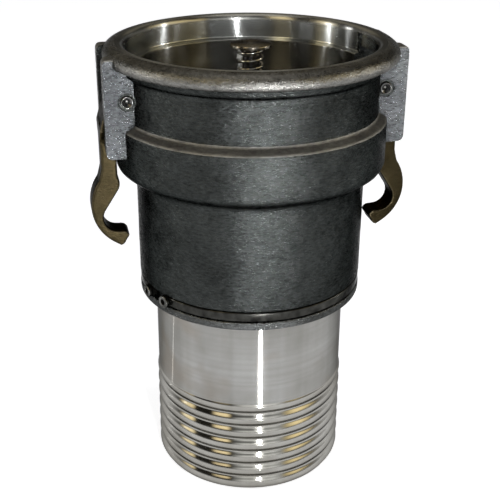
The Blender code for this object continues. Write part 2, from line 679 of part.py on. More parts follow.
def make_retaining_ring(material):
    """The split ring in the outer groove, with two eyelets at its gap and dogs that reach the shank."""
    bm = bmesh.new()
    top = RING_BOTTOM + RING_HEIGHT
    corners = [
        bm.verts.new((radius, 0, height))
        for radius, height in (
            (RING_INNER_RADIUS, top),
            (RING_OUTER_RADIUS, top),
            (RING_OUTER_RADIUS, RING_BOTTOM),
            (RING_INNER_RADIUS, RING_BOTTOM),
        )
    ]
    face = bm.faces.new(corners)
    turn = Matrix.Rotation(math.radians(RING_GAP_ANGLE + RING_GAP_HALF), 4, "Z")
    bmesh.ops.transform(bm, matrix=turn, verts=corners)
    bmesh.ops.spin(
        bm,
        geom=[face],
        cent=(0, 0, 0),
        axis=(0, 0, 1),
        angle=math.radians(360 - 2 * RING_GAP_HALF),
        steps=BODY_SEGMENTS,
    )
    ring = mesh_object("retaining_ring", bm, material)
    middle = RING_BOTTOM + RING_HEIGHT / 2
    eyelet_inner = SLEEVE_RADIUS + SEAT_GAP
    eyelet_outer = eyelet_inner + EYELET_THICKNESS
    hole_floor = eyelet_inner + EYELET_THICKNESS / 2
    eye_profile = [
        (0, hole_floor),
        (EYELET_HOLE_RADIUS, hole_floor),
        (EYELET_HOLE_RADIUS, eyelet_outer),
        (EYELET_RADIUS, eyelet_outer),
        (EYELET_RADIUS, eyelet_inner),
        (0, eyelet_inner),
    ]
    lay_radially = Matrix.Translation((0, 0, middle)) @ Matrix.Rotation(math.pi / 2, 4, "Y")
    for index, angle in enumerate((RING_GAP_ANGLE - EYELET_ANGLE, RING_GAP_ANGLE + EYELET_ANGLE)):
        neck = block(
            f"eyelet_neck_{index}",
            (RING_INNER_RADIUS + RING_WIDTH / 2, eyelet_inner + EYELET_THICKNESS / 4),
            (-EYELET_NECK / 2, EYELET_NECK / 2),
            (RING_BOTTOM + SEAT_GAP, top - SEAT_GAP),
        )
        eye = turned(f"eyelet_{index}", eye_profile, SMALL_SEGMENTS, closed=False)
        combine(ring, place(neck, angle), "UNION")
        combine(ring, place(eye, angle, tilt=lay_radially), "UNION")
    for index, angle in enumerate(dog_angles()):
        dog = block(
            f"ring_dog_{index}",
            (RACE_RADIUS + RUN_GAP, RING_INNER_RADIUS + RING_WIDTH / 2),
            (-DOG_WIDTH / 2, DOG_WIDTH / 2),
            (DOG_MIDDLE - DOG_HEIGHT / 2, DOG_MIDDLE + DOG_HEIGHT / 2),
        )
        combine(ring, place(dog, angle), "UNION")
    return ring


def make_gasket(material):
    """The mouth gasket, with a small raised lip round its inner edge."""
    low = RECESS_BOTTOM + SEAT_GAP
    high = low + GASKET_THICKNESS
    profile = [
        (GASKET_INNER_RADIUS, high - GASKET_LIP),
        (GASKET_INNER_RADIUS + GASKET_LIP, high),
        (GASKET_OUTER_RADIUS, high),
        (GASKET_OUTER_RADIUS, low),
        (GASKET_INNER_RADIUS + GASKET_LIP, low),
        (GASKET_INNER_RADIUS, low + GASKET_LIP),
    ]
    return turned("mouth_gasket", profile, BODY_SEGMENTS, material)


def make_spider(material):
    """A ring with arms and a hub, drilled for its bush and screws."""
    top = SPIDER_BOTTOM + SPIDER_THICKNESS
    inner = SPIDER_RADIUS - SPIDER_RING_WIDTH
    spider = tube_ring("guide_spider", inner, SPIDER_RADIUS, SPIDER_BOTTOM, top, RING_SEGMENTS, material)
    hub = rod("spider_hub", SPIDER_HUB_RADIUS, SPIDER_BOTTOM, HUB_TOP, SMALL_SEGMENTS)
    for index, angle in enumerate(spread(SPIDER_ARM_COUNT)):
        arm = block(
            f"spider_arm_{index}",
            (0, inner + SPIDER_RING_WIDTH / 4),
            (-SPIDER_ARM_WIDTH / 2, SPIDER_ARM_WIDTH / 2),
            (SPIDER_BOTTOM + SEAT_GAP, top - SEAT_GAP),
        )
        combine(spider, place(arm, angle), "UNION")
    combine(spider, hub, "UNION")
    bore = rod(
        "spider_bore",
        BUSH_OUTER_RADIUS + SEAT_GAP,
        SPIDER_BOTTOM - CUT_MARGIN,
        HUB_TOP + CUT_MARGIN,
        SMALL_SEGMENTS,
    )
    combine(spider, bore, "DIFFERENCE")
    for index, angle in enumerate(spread(SPIDER_ARM_COUNT)):
        hole = rod(
            f"spider_screw_hole_{index}",
            SCREW_RADIUS + SEAT_GAP,
            SPIDER_BOTTOM - CUT_MARGIN,
            top + CUT_MARGIN,
            SMALL_SEGMENTS,
        )
        combine(spider, place(hole, location=on_circle(SCREW_CIRCLE, angle)), "DIFFERENCE")
    return spider


def make_screw(name, angle, material):
    """A domed screw through the spider's ring into the shelf."""
    head_low = SPIDER_BOTTOM + SPIDER_THICKNESS + SEAT_GAP
    head_high = head_low + SCREW_HEAD_HEIGHT
    profile = [
        (0, head_high),
        (SCREW_HEAD_FLAT, head_high),
        (SCREW_HEAD_RADIUS, head_high - SCREW_HEAD_HEIGHT / 2),
        (SCREW_HEAD_RADIUS, head_low),
        (SCREW_RADIUS, head_low),
        (SCREW_RADIUS, SHELF_TOP - SCREW_BITE),
        (0, SHELF_TOP - SCREW_BITE),
    ]
    screw = turned(name, profile, SMALL_SEGMENTS, material, closed=False)
    return place(screw, location=on_circle(SCREW_CIRCLE, angle))


def make_bush(material):
    """A flanged bush in the spider's hub."""
    flange = BUSH_OUTER_RADIUS + BUSH_FLANGE_WIDTH
    profile = [
        (BUSH_INNER_RADIUS, BUSH_TOP),
        (flange, BUSH_TOP),
        (flange, BUSH_FLANGE_BOTTOM),
        (BUSH_OUTER_RADIUS, BUSH_FLANGE_BOTTOM),
        (BUSH_OUTER_RADIUS, SPIDER_BOTTOM),
        (BUSH_INNER_RADIUS, SPIDER_BOTTOM),
    ]
    return turned("stem_bush", profile, SMALL_SEGMENTS, material)


def make_button(material):
    """The mushroom button: a thin, slightly crowned head on a boss that centres the spring."""
    profile = [
        (0, BUTTON_TOP),
        (BUTTON_FLAT_RADIUS, BUTTON_TOP - BUTTON_CROWN / 3),
        (BUTTON_RADIUS - EDGE, BUTTON_TOP - BUTTON_CROWN),
        (BUTTON_RADIUS, BUTTON_TOP - BUTTON_CROWN - EDGE / 2),
        (BUTTON_RADIUS, HEAD_BOTTOM + EDGE / 2),
        (BUTTON_RADIUS - EDGE, HEAD_BOTTOM),
        (BUTTON_BOSS_RADIUS, HEAD_BOTTOM),
        (BUTTON_BOSS_RADIUS, BUTTON_BOTTOM),
        (STEM_HOLE_RADIUS, BUTTON_BOTTOM),
        (STEM_HOLE_RADIUS, BUTTON_BOTTOM + BUTTON_SOCKET),
        (0, BUTTON_BOTTOM + BUTTON_SOCKET),
    ]
    return turned("poppet_button", profile, RING_SEGMENTS, material, closed=False)


def make_stem(material):
    """The poppet's rod, with a collar above the disc and reduced ends."""
    collar_top = COLLAR_BOTTOM + STEM_COLLAR_HEIGHT
    shoulder = BUTTON_BOTTOM - SEAT_GAP
    profile = [
        (0, BUTTON_BOTTOM + BUTTON_SOCKET - SEAT_GAP),
        (STEM_END_RADIUS, BUTTON_BOTTOM + BUTTON_SOCKET - SEAT_GAP),
        (STEM_END_RADIUS, shoulder),
        (STEM_RADIUS, shoulder),
        (STEM_RADIUS, collar_top),
        (STEM_COLLAR_RADIUS, collar_top),
        (STEM_COLLAR_RADIUS, COLLAR_BOTTOM),
        (STEM_END_RADIUS, COLLAR_BOTTOM),
        (STEM_END_RADIUS, STEM_BOTTOM + EDGE),
        (STEM_END_RADIUS - EDGE, STEM_BOTTOM),
        (0, STEM_BOTTOM),
    ]
    return turned("poppet_stem", profile, SMALL_SEGMENTS, material, closed=False)


def make_disc(material):
    """The valve disc, with a boss below for its washer and nut."""
    profile = [
        (STEM_HOLE_RADIUS, DISC_TOP),
        (DISC_RADIUS, DISC_TOP),
        (DISC_RADIUS, DISC_BOTTOM + EDGE),
        (DISC_RADIUS - EDGE, DISC_BOTTOM),
        (DISC_BOSS_RADIUS + DISC_BOSS_HEIGHT, DISC_BOTTOM),
        (DISC_BOSS_RADIUS, BOSS_BOTTOM),
        (STEM_HOLE_RADIUS, BOSS_BOTTOM),
    ]
    return turned("valve_disc", profile, RING_SEGMENTS, material)


def make_retainer(material):
    """A stepped plate that clamps the inner edge of the disc's seal."""
    boss = SEAL_INNER_RADIUS - SEAT_GAP
    profile = [
        (STEM_HOLE_RADIUS, RETAINER_TOP),
        (boss + RETAINER_OVERLAP - EDGE, RETAINER_TOP),
        (boss + RETAINER_OVERLAP, RETAINER_TOP - EDGE),
        (boss + RETAINER_OVERLAP, SEAL_TOP + SEAT_GAP),
        (boss, SEAL_TOP + SEAT_GAP),
        (boss, DISC_TOP + SEAT_GAP),
        (STEM_HOLE_RADIUS, DISC_TOP + SEAT_GAP),
    ]
    return turned("seal_retainer", profile, RING_SEGMENTS, material)


def make_nut(material):
    """A plain hexagon nut on the stem's lower end."""
    corner = NUT_ACROSS_FLATS / math.sqrt(3)
    nut = rod("stem_nut", corner, NUT_TOP - NUT_HEIGHT, NUT_TOP, 6, material)
    reach = NUT_HEIGHT + CUT_MARGIN
    hole = rod("stem_nut_hole", STEM_HOLE_RADIUS, NUT_TOP - reach, NUT_TOP + CUT_MARGIN, SMALL_SEGMENTS)
    combine(nut, hole, "DIFFERENCE")
    return nut


def spring_path():
    """Points of the spring's wire: a helix with both ends running straight for one wire diameter."""
    low = SPRING_BOTTOM + SPRING_WIRE / 2
    high = SPRING_TOP - SPRING_WIRE / 2
    steps = SPRING_TURN_COUNT * SPRING_TURN_SEGMENTS
    points = []
    for step in range(steps + 1):
        angle = 2 * math.pi * step / SPRING_TURN_SEGMENTS
        height = low + (high - low) * step / steps
        points.append(Vector((SPRING_RADIUS * math.cos(angle), SPRING_RADIUS * math.sin(angle), height)))
    first = Vector((0, -SPRING_WIRE, 0))
    last_turn = 2 * math.pi * steps / SPRING_TURN_SEGMENTS
    last = Vector((-math.sin(last_turn), math.cos(last_turn), 0)) * SPRING_WIRE
    return [points[0] + first] + points + [points[-1] + last]


def least_gap(points):
    """Least distance between the wire's surfaces on points at least half a turn apart."""
    apart = SPRING_TURN_SEGMENTS // 2
    nearest = min(
        (first - second).length
        for index, first in enumerate(points)
        for second in points[index + apart :]
    )
    return nearest - SPRING_WIRE


def make_spring(material):
    """The poppet's compression spring, one unbroken wire."""
    path = spring_path()
    gap = least_gap(path)
    print(f"spring: least gap to itself {gap / MM:.2f} mm, wanted over {SPRING_LEAST_GAP / MM:.1f} mm")
    curve = bpy.data.curves.new("poppet_spring", "CURVE")
    curve.dimensions = "3D"
    curve.bevel_depth = SPRING_WIRE / 2
    curve.bevel_resolution = 1
    curve.use_fill_caps = True
    spline = curve.splines.new("POLY")
    spline.points.add(len(path) - 1)
    for point, place_at in zip(spline.points, path):
        point.co = (*place_at, 1.0)
    curve.materials.append(material)
    spring = bpy.data.objects.new("poppet_spring", curve)
    bpy.context.scene.collection.objects.link(spring)
    return spring


def main():
    for thing in list(bpy.data.objects):
        bpy.data.objects.remove(thing, do_unlink=True)

    cast = finish("cast_aluminium", (0.22, 0.22, 0.22), 0.5, 1.0)
    turned_metal = finish("turned_aluminium", (0.72, 0.72, 0.70), 0.25, 1.0)
    bronze = finish("bronze", (0.16, 0.11, 0.05), 0.4, 1.0)
    steel = finish("steel", (0.45, 0.44, 0.42), 0.3, 1.0)
    black_steel = finish("black_steel", (0.03, 0.03, 0.03), 0.35, 1.0)
    rubber = finish("rubber", (0.02, 0.02, 0.02), 0.7, 0.0)
    bearing = finish("bearing", (0.75, 0.73, 0.66), 0.5, 0.0)

    make_body(cast)
    make_gasket(rubber)
    make_retaining_ring(black_steel)
    for name, facing in (("right", 0), ("left", 180)):
        make_arm(f"cam_arm_{name}", facing, bronze)
        make_pin(f"pivot_pin_{name}", facing, steel)

    make_spider(turned_metal)
    for index, angle in enumerate(spread(SPIDER_ARM_COUNT)):
        make_screw(f"spider_screw_{index + 1}", angle, steel)
    make_bush(bearing)
    tube_ring(
        "spring_seat",
        BUSH_INNER_RADIUS,
        BUSH_OUTER_RADIUS + BUSH_FLANGE_WIDTH,
        SPRING_SEAT_BOTTOM,
        SPRING_SEAT_BOTTOM + SPRING_SEAT_THICKNESS,
        SMALL_SEGMENTS,
        steel,
    )
    make_spring(steel)

    make_button(steel)
    make_stem(steel)
    make_disc(turned_metal)
    tube_ring(
        "disc_seal",
        SEAL_INNER_RADIUS,
        DISC_RADIUS - EDGE,
        SEAL_BOTTOM,
        SEAL_TOP,
        RING_SEGMENTS,
        rubber,
    )
    make_retainer(steel)
    tube_ring(
        "lock_washer",
        STEM_HOLE_RADIUS,
        WASHER_RADIUS,
        WASHER_TOP - WASHER_THICKNESS,
        WASHER_TOP,
        SMALL_SEGMENTS,
        steel,
    )
    make_nut(steel)

    turned("hose_shank", shank_profile(), SHANK_SEGMENTS, turned_metal)
    for name, height in zip(("upper", "lower"), o_ring_heights()):
        make_o_ring(f"swivel_o_ring_{name}", height, rubber)
    tube_ring(
        "wear_ring",
        SHANK_BORE_RADIUS + RUN_GAP,
        SHANK_RADIUS - EDGE,
        SHANK_TOP + SEAT_GAP,
        SHANK_TOP + SEAT_GAP + WEAR_RING_THICKNESS,
        RING_SEGMENTS,
        bearing,
    )


main()
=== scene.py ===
"""Looks of the camlock coupling: finer pieces, procedural finishes, studio light and the camera."""

import math

import bmesh
import bpy
from mathutils import Matrix, Vector
from mathutils.noise import fractal


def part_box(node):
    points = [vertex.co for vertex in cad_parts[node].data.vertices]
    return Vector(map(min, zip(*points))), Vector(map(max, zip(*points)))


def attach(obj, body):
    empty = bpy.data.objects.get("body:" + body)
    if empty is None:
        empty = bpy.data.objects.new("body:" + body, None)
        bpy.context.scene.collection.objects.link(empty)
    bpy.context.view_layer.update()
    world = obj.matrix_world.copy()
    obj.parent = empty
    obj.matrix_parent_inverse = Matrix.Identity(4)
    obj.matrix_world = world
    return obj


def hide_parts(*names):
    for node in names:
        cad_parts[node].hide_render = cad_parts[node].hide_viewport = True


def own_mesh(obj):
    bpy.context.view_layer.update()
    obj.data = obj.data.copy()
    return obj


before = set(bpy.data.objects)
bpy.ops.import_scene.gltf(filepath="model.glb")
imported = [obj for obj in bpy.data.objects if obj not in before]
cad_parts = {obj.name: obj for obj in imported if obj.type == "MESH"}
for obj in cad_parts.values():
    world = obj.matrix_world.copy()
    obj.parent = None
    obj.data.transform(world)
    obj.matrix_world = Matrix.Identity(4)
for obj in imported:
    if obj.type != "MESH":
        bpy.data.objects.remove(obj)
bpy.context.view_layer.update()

MM = 0.001

# Fineness of the meshes
ROUND_SEGMENTS = 192
SMALL_SEGMENTS = 64
FILLET_STEPS = 6
SHARP_ANGLE = math.radians(32)
BEVEL_SEGMENTS = 3
BEVEL_ANGLE = math.radians(50)
SAME_POINT = 1e-7

# The most of a side that one easing takes, so that two easings on it never meet
EASE_SHARE = 0.49

# Heights of the body
RIM_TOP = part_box("coupler_body")[1].z
LIP_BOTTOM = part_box("coupler_body")[0].z
SHELF_TOP = RIM_TOP - 72.95 * MM
SHELF_BOTTOM = SHELF_TOP - 10.0 * MM
RECESS_TOP = RIM_TOP - 50.0 * MM
RECESS_BOTTOM = RECESS_TOP - 6.95 * MM
COUNTERBORE_BOTTOM = RIM_TOP - 12.5 * MM
SHOULDER_FALL = 0.9 * MM
GROOVE_BOTTOM = LIP_BOTTOM + 4.25 * MM
GROOVE_TOP = GROOVE_BOTTOM + 5.9 * MM
SLEEVE_TOP = GROOVE_TOP + 55.5 * MM
BAND_BOTTOM = SLEEVE_TOP + 5.2 * MM
BAND_TOP = BAND_BOTTOM + 23.2 * MM
LEDGE_TOP = BAND_TOP + 3.0 * MM
SOCKET_TOP = LIP_BOTTOM + 26.0 * MM

# Radii of the body
BORE_RADIUS = 60.2 * MM
LEAD_IN_STEP = 3.0 * MM
COUNTERBORE_RADIUS = BORE_RADIUS + LEAD_IN_STEP
RIM_LIP_WIDTH = 2.4 * MM
RIM_LIP_HEIGHT = 3.1 * MM
RIM_INNER_RADIUS = COUNTERBORE_RADIUS + RIM_LIP_WIDTH
RIM_FACE_RADIUS = RIM_INNER_RADIUS + 2.0 * MM
BEAD_OVERHANG = 6.4 * MM
BEAD_CROWN = 5.2 * MM
BEAD_RADIUS = RIM_FACE_RADIUS + BEAD_OVERHANG
BEAD_ROOT = 3.5 * MM
BEAD_HEIGHT = 8.5 * MM
COLLAR_RADIUS = 68.0 * MM
COLLAR_HEIGHT = 3.7 * MM
NECK_RADIUS = BORE_RADIUS + 4.7 * MM
BAND_RADIUS = NECK_RADIUS + 4.6 * MM
SLEEVE_RADIUS = 59.4 * MM
GROOVE_RADIUS = SLEEVE_RADIUS - 3.2 * MM
RECESS_RADIUS = 62.3 * MM
THROAT_RADIUS = 49.2 * MM
SEAT_RADIUS = 36.0 * MM
CHAMBER_RADIUS = 48.0 * MM
SOCKET_RADIUS = 51.5 * MM

# Lugs, pins and slots
PIVOT_REACH = BAND_RADIUS - 4.7 * MM
PIVOT_HEIGHT = RIM_TOP - 23.4 * MM
LUG_REACH = PIVOT_REACH + 11.1 * MM
LUG_ROOT = BORE_RADIUS + 1.1 * MM
LUG_GAP = 25.4 * MM
LUG_THICKNESS = 8.0 * MM
LUG_FACE = LUG_GAP / 2 + LUG_THICKNESS
LUG_TOP = RIM_TOP - 2.5 * MM
LUG_BOTTOM = LUG_TOP - 49.1 * MM
LUG_CORNER = 3.4 * MM
LUG_EDGE = 0.7 * MM
LUG_TOP_EASE = 3.0 * MM
SLOT_ABOVE = 14.4 * MM
SLOT_BELOW = 13.4 * MM
PIN_RADIUS = 3.2 * MM
PIN_PROUD = 0.5 * MM
PIN_HOLE_GAP = 0.3 * MM
PIN_HOLE_RADIUS = PIN_RADIUS + PIN_HOLE_GAP
SPOT_FACE_STEP = 1.1 * MM
SPOT_FACE_DEPTH = 0.6 * MM

# How far a cut goes past what it cuts, and the small step that keeps two faces from lying in one plane
CUT_MARGIN = 4.0 * MM
CUT_STEP = 0.05 * MM

LAY_ALONG_Y = Matrix.Rotation(math.pi / 2, 4, "X")


def mesh_piece(name, bm, materials):
    """An object from a bmesh, smooth up to its sharp edges."""
    bmesh.ops.remove_doubles(bm, verts=bm.verts, dist=SAME_POINT)
    bmesh.ops.recalc_face_normals(bm, faces=bm.faces)
    mesh = bpy.data.meshes.new(name)
    bm.to_mesh(mesh)
    bm.free()
    for material in materials:
        mesh.materials.append(material)
    piece = bpy.data.objects.new(name, mesh)
    bpy.context.scene.collection.objects.link(piece)
    smooth(piece)
    return piece


def smooth(piece):
    """Shades a piece smooth, apart from its sharp edges."""
    piece.data.shade_smooth()
    piece.data.set_sharp_from_angle(angle=SHARP_ANGLE)


def rounded(corners, closed=False, steps=FILLET_STEPS):
    """A line of points from (across, up, setback) corners, each corner eased over its setback."""
    count = len(corners)
    points = []
    for index, (across, up, setback) in enumerate(corners):
        here = Vector((across, up))
        at_end = index in (0, count - 1) and not closed
        if at_end or setback == 0:
            points.append((across, up))
            continue
        before = Vector(corners[index - 1][:2]) - here
        after = Vector(corners[(index + 1) % count][:2]) - here
        room = min(setback, EASE_SHARE * before.length, EASE_SHARE * after.length)
        start = here + before.normalized() * room
        end = here + after.normalized() * room
        for step in range(steps + 1):
            share = step / steps
            point = start * (1 - share) ** 2 + here * 2 * share * (1 - share) + end * share**2
            points.append((point.x, point.y))
    return points


def arc(centre, radius, start, end, steps, rise=None):
    """Points on an arc between two angles in degrees, both ends included. A rise makes it an ellipse."""
    points = []
    for step in range(steps + 1):
        angle = math.radians(start + (end - start) * step / steps)
        across = radius * math.cos(angle)
        up = (rise or radius) * math.sin(angle)
        points.append((centre[0] + across, centre[1] + up))
    return points


def divided(points, longest):
    """The same closed line of points with more of them, so that no stretch is too long."""
    finer = []
    for first, second in zip(points, points[1:] + points[:1]):
        count = max(1, math.ceil(math.dist(first, second) / longest))
        for step in range(count):
            share = step / count
            finer.append(tuple(a + (b - a) * share for a, b in zip(first, second)))
    return finer


def turned(name, profile, materials, segments=ROUND_SEGMENTS, closed=True):
    """A piece turned about Z from (radius, height) points. An open profile ends on the axis."""
    bm = bmesh.new()
    corners = [bm.verts.new((radius, 0, height)) for radius, height in profile]
    edges = [bm.edges.new(pair) for pair in zip(corners, corners[1:])]
    if closed:
        edges.append(bm.edges.new((corners[-1], corners[0])))
    bmesh.ops.spin(
        bm,
        geom=corners + edges,
        cent=(0, 0, 0),
        axis=(0, 0, 1),
        angle=2 * math.pi,
        steps=segments,
        use_merge=True,
    )
    return mesh_piece(name, bm, materials)


def prism(name, outline, low, high, materials=()):
    """An outline of (x, z) points swept along Y."""
    bm = bmesh.new()
    face = bm.faces.new([bm.verts.new((x, low, z)) for x, z in outline])
    swept = bmesh.ops.extrude_face_region(bm, geom=[face])
    moved = [item for item in swept["geom"] if isinstance(item, bmesh.types.BMVert)]
    bmesh.ops.translate(bm, verts=moved, vec=(0, high - low, 0))
    return mesh_piece(name, bm, materials)


def box_outline(x_range, z_range):
    """A rectangle of (x, z) points."""
    (x0, x1), (z0, z1) = x_range, z_range
    return [(x0, z0), (x1, z0), (x1, z1), (x0, z1)]


def add_bevel(piece, width):
    """Rounds a piece's sharp edges."""
    bevel = piece.modifiers.new("rounded_edges", "BEVEL")
    bevel.width = width
    bevel.segments = BEVEL_SEGMENTS
    bevel.limit_method = "ANGLE"
    bevel.angle_limit = BEVEL_ANGLE
    return piece


def add_boolean(piece, tool, operation):
    """Joins a tool to a piece or cuts it out. The tool's faces keep their finish."""
    boolean = piece.modifiers.new(tool.name, "BOOLEAN")
    boolean.operation = operation
    boolean.object = tool
    boolean.material_mode = "TRANSFER"


def settle(piece, *tools):
    """Fixes a piece's modifiers into its mesh and removes the tools that they used."""
    bpy.context.view_layer.update()
    evaluated = piece.evaluated_get(bpy.context.evaluated_depsgraph_get())
    mesh = bpy.data.meshes.new_from_object(evaluated)
    piece.modifiers.clear()
    piece.data = mesh
    for tool in tools:
        bpy.data.objects.remove(tool, do_unlink=True)
    return piece


def turn_about_z(piece, angle):
    """Turns a piece about the part's axis, by an angle in degrees."""
    piece.matrix_world = Matrix.Rotation(math.radians(angle), 4, "Z") @ piece.matrix_world
    return piece


def on_circle(radius, angle, height=0.0):
    """A point on a circle about the part's axis, at an angle in degrees."""
    turn = math.radians(angle)
    return Vector((radius * math.cos(turn), radius * math.sin(turn), height))


def mounted(piece, body, slot, *nodes):
    """Puts a finished piece on its body, in the place of its nodes. The name of its finish is not used."""
    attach(piece, body)
    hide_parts(*nodes)
    return piece


# Finishes

# Places of a mix node's two colours and of its result among its sockets
MIX_FIRST = 6
MIX_SECOND = 7
MIX_RESULT = 2

GRAZING_TINT = (0.3, 0.3, 0.3, 1.0)

# Each noise of a finish: its scale per metre, its detail and its roughness
CAST_BLOTCHES = (45.0, 5.0, 0.65)
CAST_STREAKS = (380.0, 4.0, 0.65)
CAST_SAND = (800.0, 3.0, 0.65)
CAST_LUMPS = (170.0, 3.0, 0.55)
TURNED_STREAKS = (70.0, 3.0, 0.6)
TURNED_SMUDGES = (26.0, 3.0, 0.55)
TURNED_STAINS = (40.0, 2.0, 0.5)

# The ranges of a noise over which a finish changes
MOST_OF_NOISE = (0.3, 0.7)
CAST_TONES = (0.36, 0.64)
TURNED_TONES = (0.32, 0.68)
LATHE_TONES = (0.35, 0.65)
STAIN_RANGE = (0.54, 0.68)
FACET_RANGE = (0.66, 0.72)
EDGE_RANGE = (0.52, 0.6)

# Cast metal
LEVEL_STRETCH = (1.0, 1.0, 2.8)
CAST_STREAK_SHARE = 0.5
FACET_SCALE = 700.0
LUMP_HEIGHT = 1.8
STREAK_HEIGHT = 1.2
CAST_BUMP = 0.7
CAST_DEPTH = 0.35 * MM

# Turned metal, where a lathe's marks have a scale per metre and a detail
LATHE_FINE = (2600.0, 2.0)
LATHE_BROAD = (420.0, 3.0)
LATHE_BROAD_HEIGHT = 0.8
LATHE_SHADE = 0.22
LATHE_BUMP = 1.0
LATHE_DEPTH = 0.1
TURNED_STREAK_SHARE = 0.35
STAIN_STRENGTH = 0.5
QUARTER_TURN = 0.25

# Rubber, plastic and blackened metal: detail and roughness of both noises
DULL_MOTTLE = (4.0, 0.6)
DULL_GRAIN = (2.0, 0.5)
DULL_GRAIN_FINENESS = 12.0
DULL_DEPTH = 0.1 * MM


def node(tree, kind, inputs=None, **settings):
    """A shader node with its settings, and its inputs linked or set."""
    made = tree.nodes.new(kind)
    for key, value in settings.items():
        setattr(made, key, value)
    for key, value in (inputs or {}).items():
        if isinstance(value, bpy.types.NodeSocket):
            tree.links.new(value, made.inputs[key])
        else:
            made.inputs[key].default_value = value
    return made


def sums(tree, operation, first, second=0.0, third=0.0):
    """The result of a sum with numbers."""
    inputs = {0: first, 1: second, 2: third}
    return node(tree, "ShaderNodeMath", inputs, operation=operation).outputs[0]


def vector_sums(tree, operation, first, second=(0.0, 0.0, 0.0)):
    """The results of a sum with vectors: a vector, and a value where the sum gives one."""
    inputs = {0: first, 1: second}
    return node(tree, "ShaderNodeVectorMath", inputs, operation=operation).outputs


def weighted(tree, first, second, share):
    """A share of the first value and the rest of the second."""
    rest = sums(tree, "MULTIPLY", second, 1 - share)
    return sums(tree, "MULTIPLY_ADD", first, share, rest)


def two_tone(tree, factor, places, dark, light):
    """A colour that goes from dark to light between two places of a factor."""
    made = node(tree, "ShaderNodeValToRGB", {"Fac": factor})
    for element, place, colour in zip(made.color_ramp.elements, places, (dark, light)):
        element.position = place
        element.color = (*colour, 1.0)
    return made.outputs["Color"]


def span(tree, value, low, high, to_low=0.0, to_high=1.0):
    """A value carried from one range to another and held at its ends."""
    inputs = {"Value": value, "From Min": low, "From Max": high, "To Min": to_low, "To Max": to_high}
    return node(tree, "ShaderNodeMapRange", inputs).outputs["Result"]


def noise(tree, where, scale, detail, roughness):
    """Noise in all directions."""
    inputs = {"Vector": where, "Scale": scale, "Detail": detail, "Roughness": roughness}
    return node(tree, "ShaderNodeTexNoise", inputs).outputs["Fac"]


def lathe_marks(tree, along, scale, detail):
    """Noise in one direction, as the marks of a lathe run."""
    inputs = {"W": along, "Scale": scale, "Detail": detail}
    return node(tree, "ShaderNodeTexNoise", inputs, noise_dimensions="1D").outputs["Fac"]


def mix(tree, factor, first, second):
    """A mix of two colours, each a socket or a plain colour."""
    made = node(tree, "ShaderNodeMix", {"Factor": factor}, data_type="RGBA")
    for place, value in ((MIX_FIRST, first), (MIX_SECOND, second)):
        if isinstance(value, bpy.types.NodeSocket):
            tree.links.new(value, made.inputs[place])
        else:
            made.inputs[place].default_value = (*value, 1.0)
    return made.outputs[MIX_RESULT]


def blank(name, metallic=1.0):
    """A new material with its tree, its shader and the object's coordinates."""
    material = bpy.data.materials.new(name)
    material.use_nodes = True
    tree = material.node_tree
    shader = tree.nodes["Principled BSDF"]
    shader.inputs["Metallic"].default_value = metallic
    shader.inputs["Specular Tint"].default_value = GRAZING_TINT
    where = node(tree, "ShaderNodeTexCoord").outputs["Object"]
    return material, tree, shader, where


def set_bump(tree, shader, height, strength, distance):
    """Gives a shader a bumpy surface."""
    inputs = {"Height": height, "Strength": strength, "Distance": distance}
    bumped = node(tree, "ShaderNodeBump", inputs).outputs["Normal"]
    tree.links.new(bumped, shader.inputs["Normal"])


def edge_wear(tree):
    """How far a point stands out as an edge."""
    pointed = node(tree, "ShaderNodeNewGeometry").outputs["Pointiness"]
    return span(tree, pointed, *EDGE_RANGE)


def cast_metal(name, dark, light, worn, roughness, grain, glint, wear=0.5):
    """Sand-cast metal: blotches, level streaks, a grainy skin, small shiny facets and rubbed edges."""
    material, tree, shader, where = blank(name)
    level = vector_sums(tree, "MULTIPLY", where, LEVEL_STRETCH)["Vector"]
    blotch = noise(tree, where, *CAST_BLOTCHES)
    streaks = noise(tree, level, *CAST_STREAKS)
    sand = noise(tree, level, *CAST_SAND)
    lumps = noise(tree, where, *CAST_LUMPS)
    cells = node(tree, "ShaderNodeTexVoronoi", {"Vector": level, "Scale": FACET_SCALE}).outputs["Color"]
    chance = node(tree, "ShaderNodeSeparateColor", {"Color": cells}).outputs["Red"]
    facets = span(tree, chance, *FACET_RANGE)
    shade = weighted(tree, streaks, blotch, CAST_STREAK_SHARE)
    tone = two_tone(tree, shade, CAST_TONES, dark, light)
    rubbed = sums(tree, "MULTIPLY", edge_wear(tree), wear)
    tree.links.new(mix(tree, rubbed, tone, worn), shader.inputs["Base Color"])
    plain = span(tree, lumps, *MOST_OF_NOISE, *roughness)
    tree.links.new(span(tree, facets, 0.0, 1.0, plain, glint), shader.inputs["Roughness"])
    coarse = sums(tree, "MULTIPLY_ADD", lumps, LUMP_HEIGHT, sand)
    height = sums(tree, "MULTIPLY_ADD", streaks, STREAK_HEIGHT, coarse)
    set_bump(tree, shader, height, CAST_BUMP * grain, CAST_DEPTH)
    return material


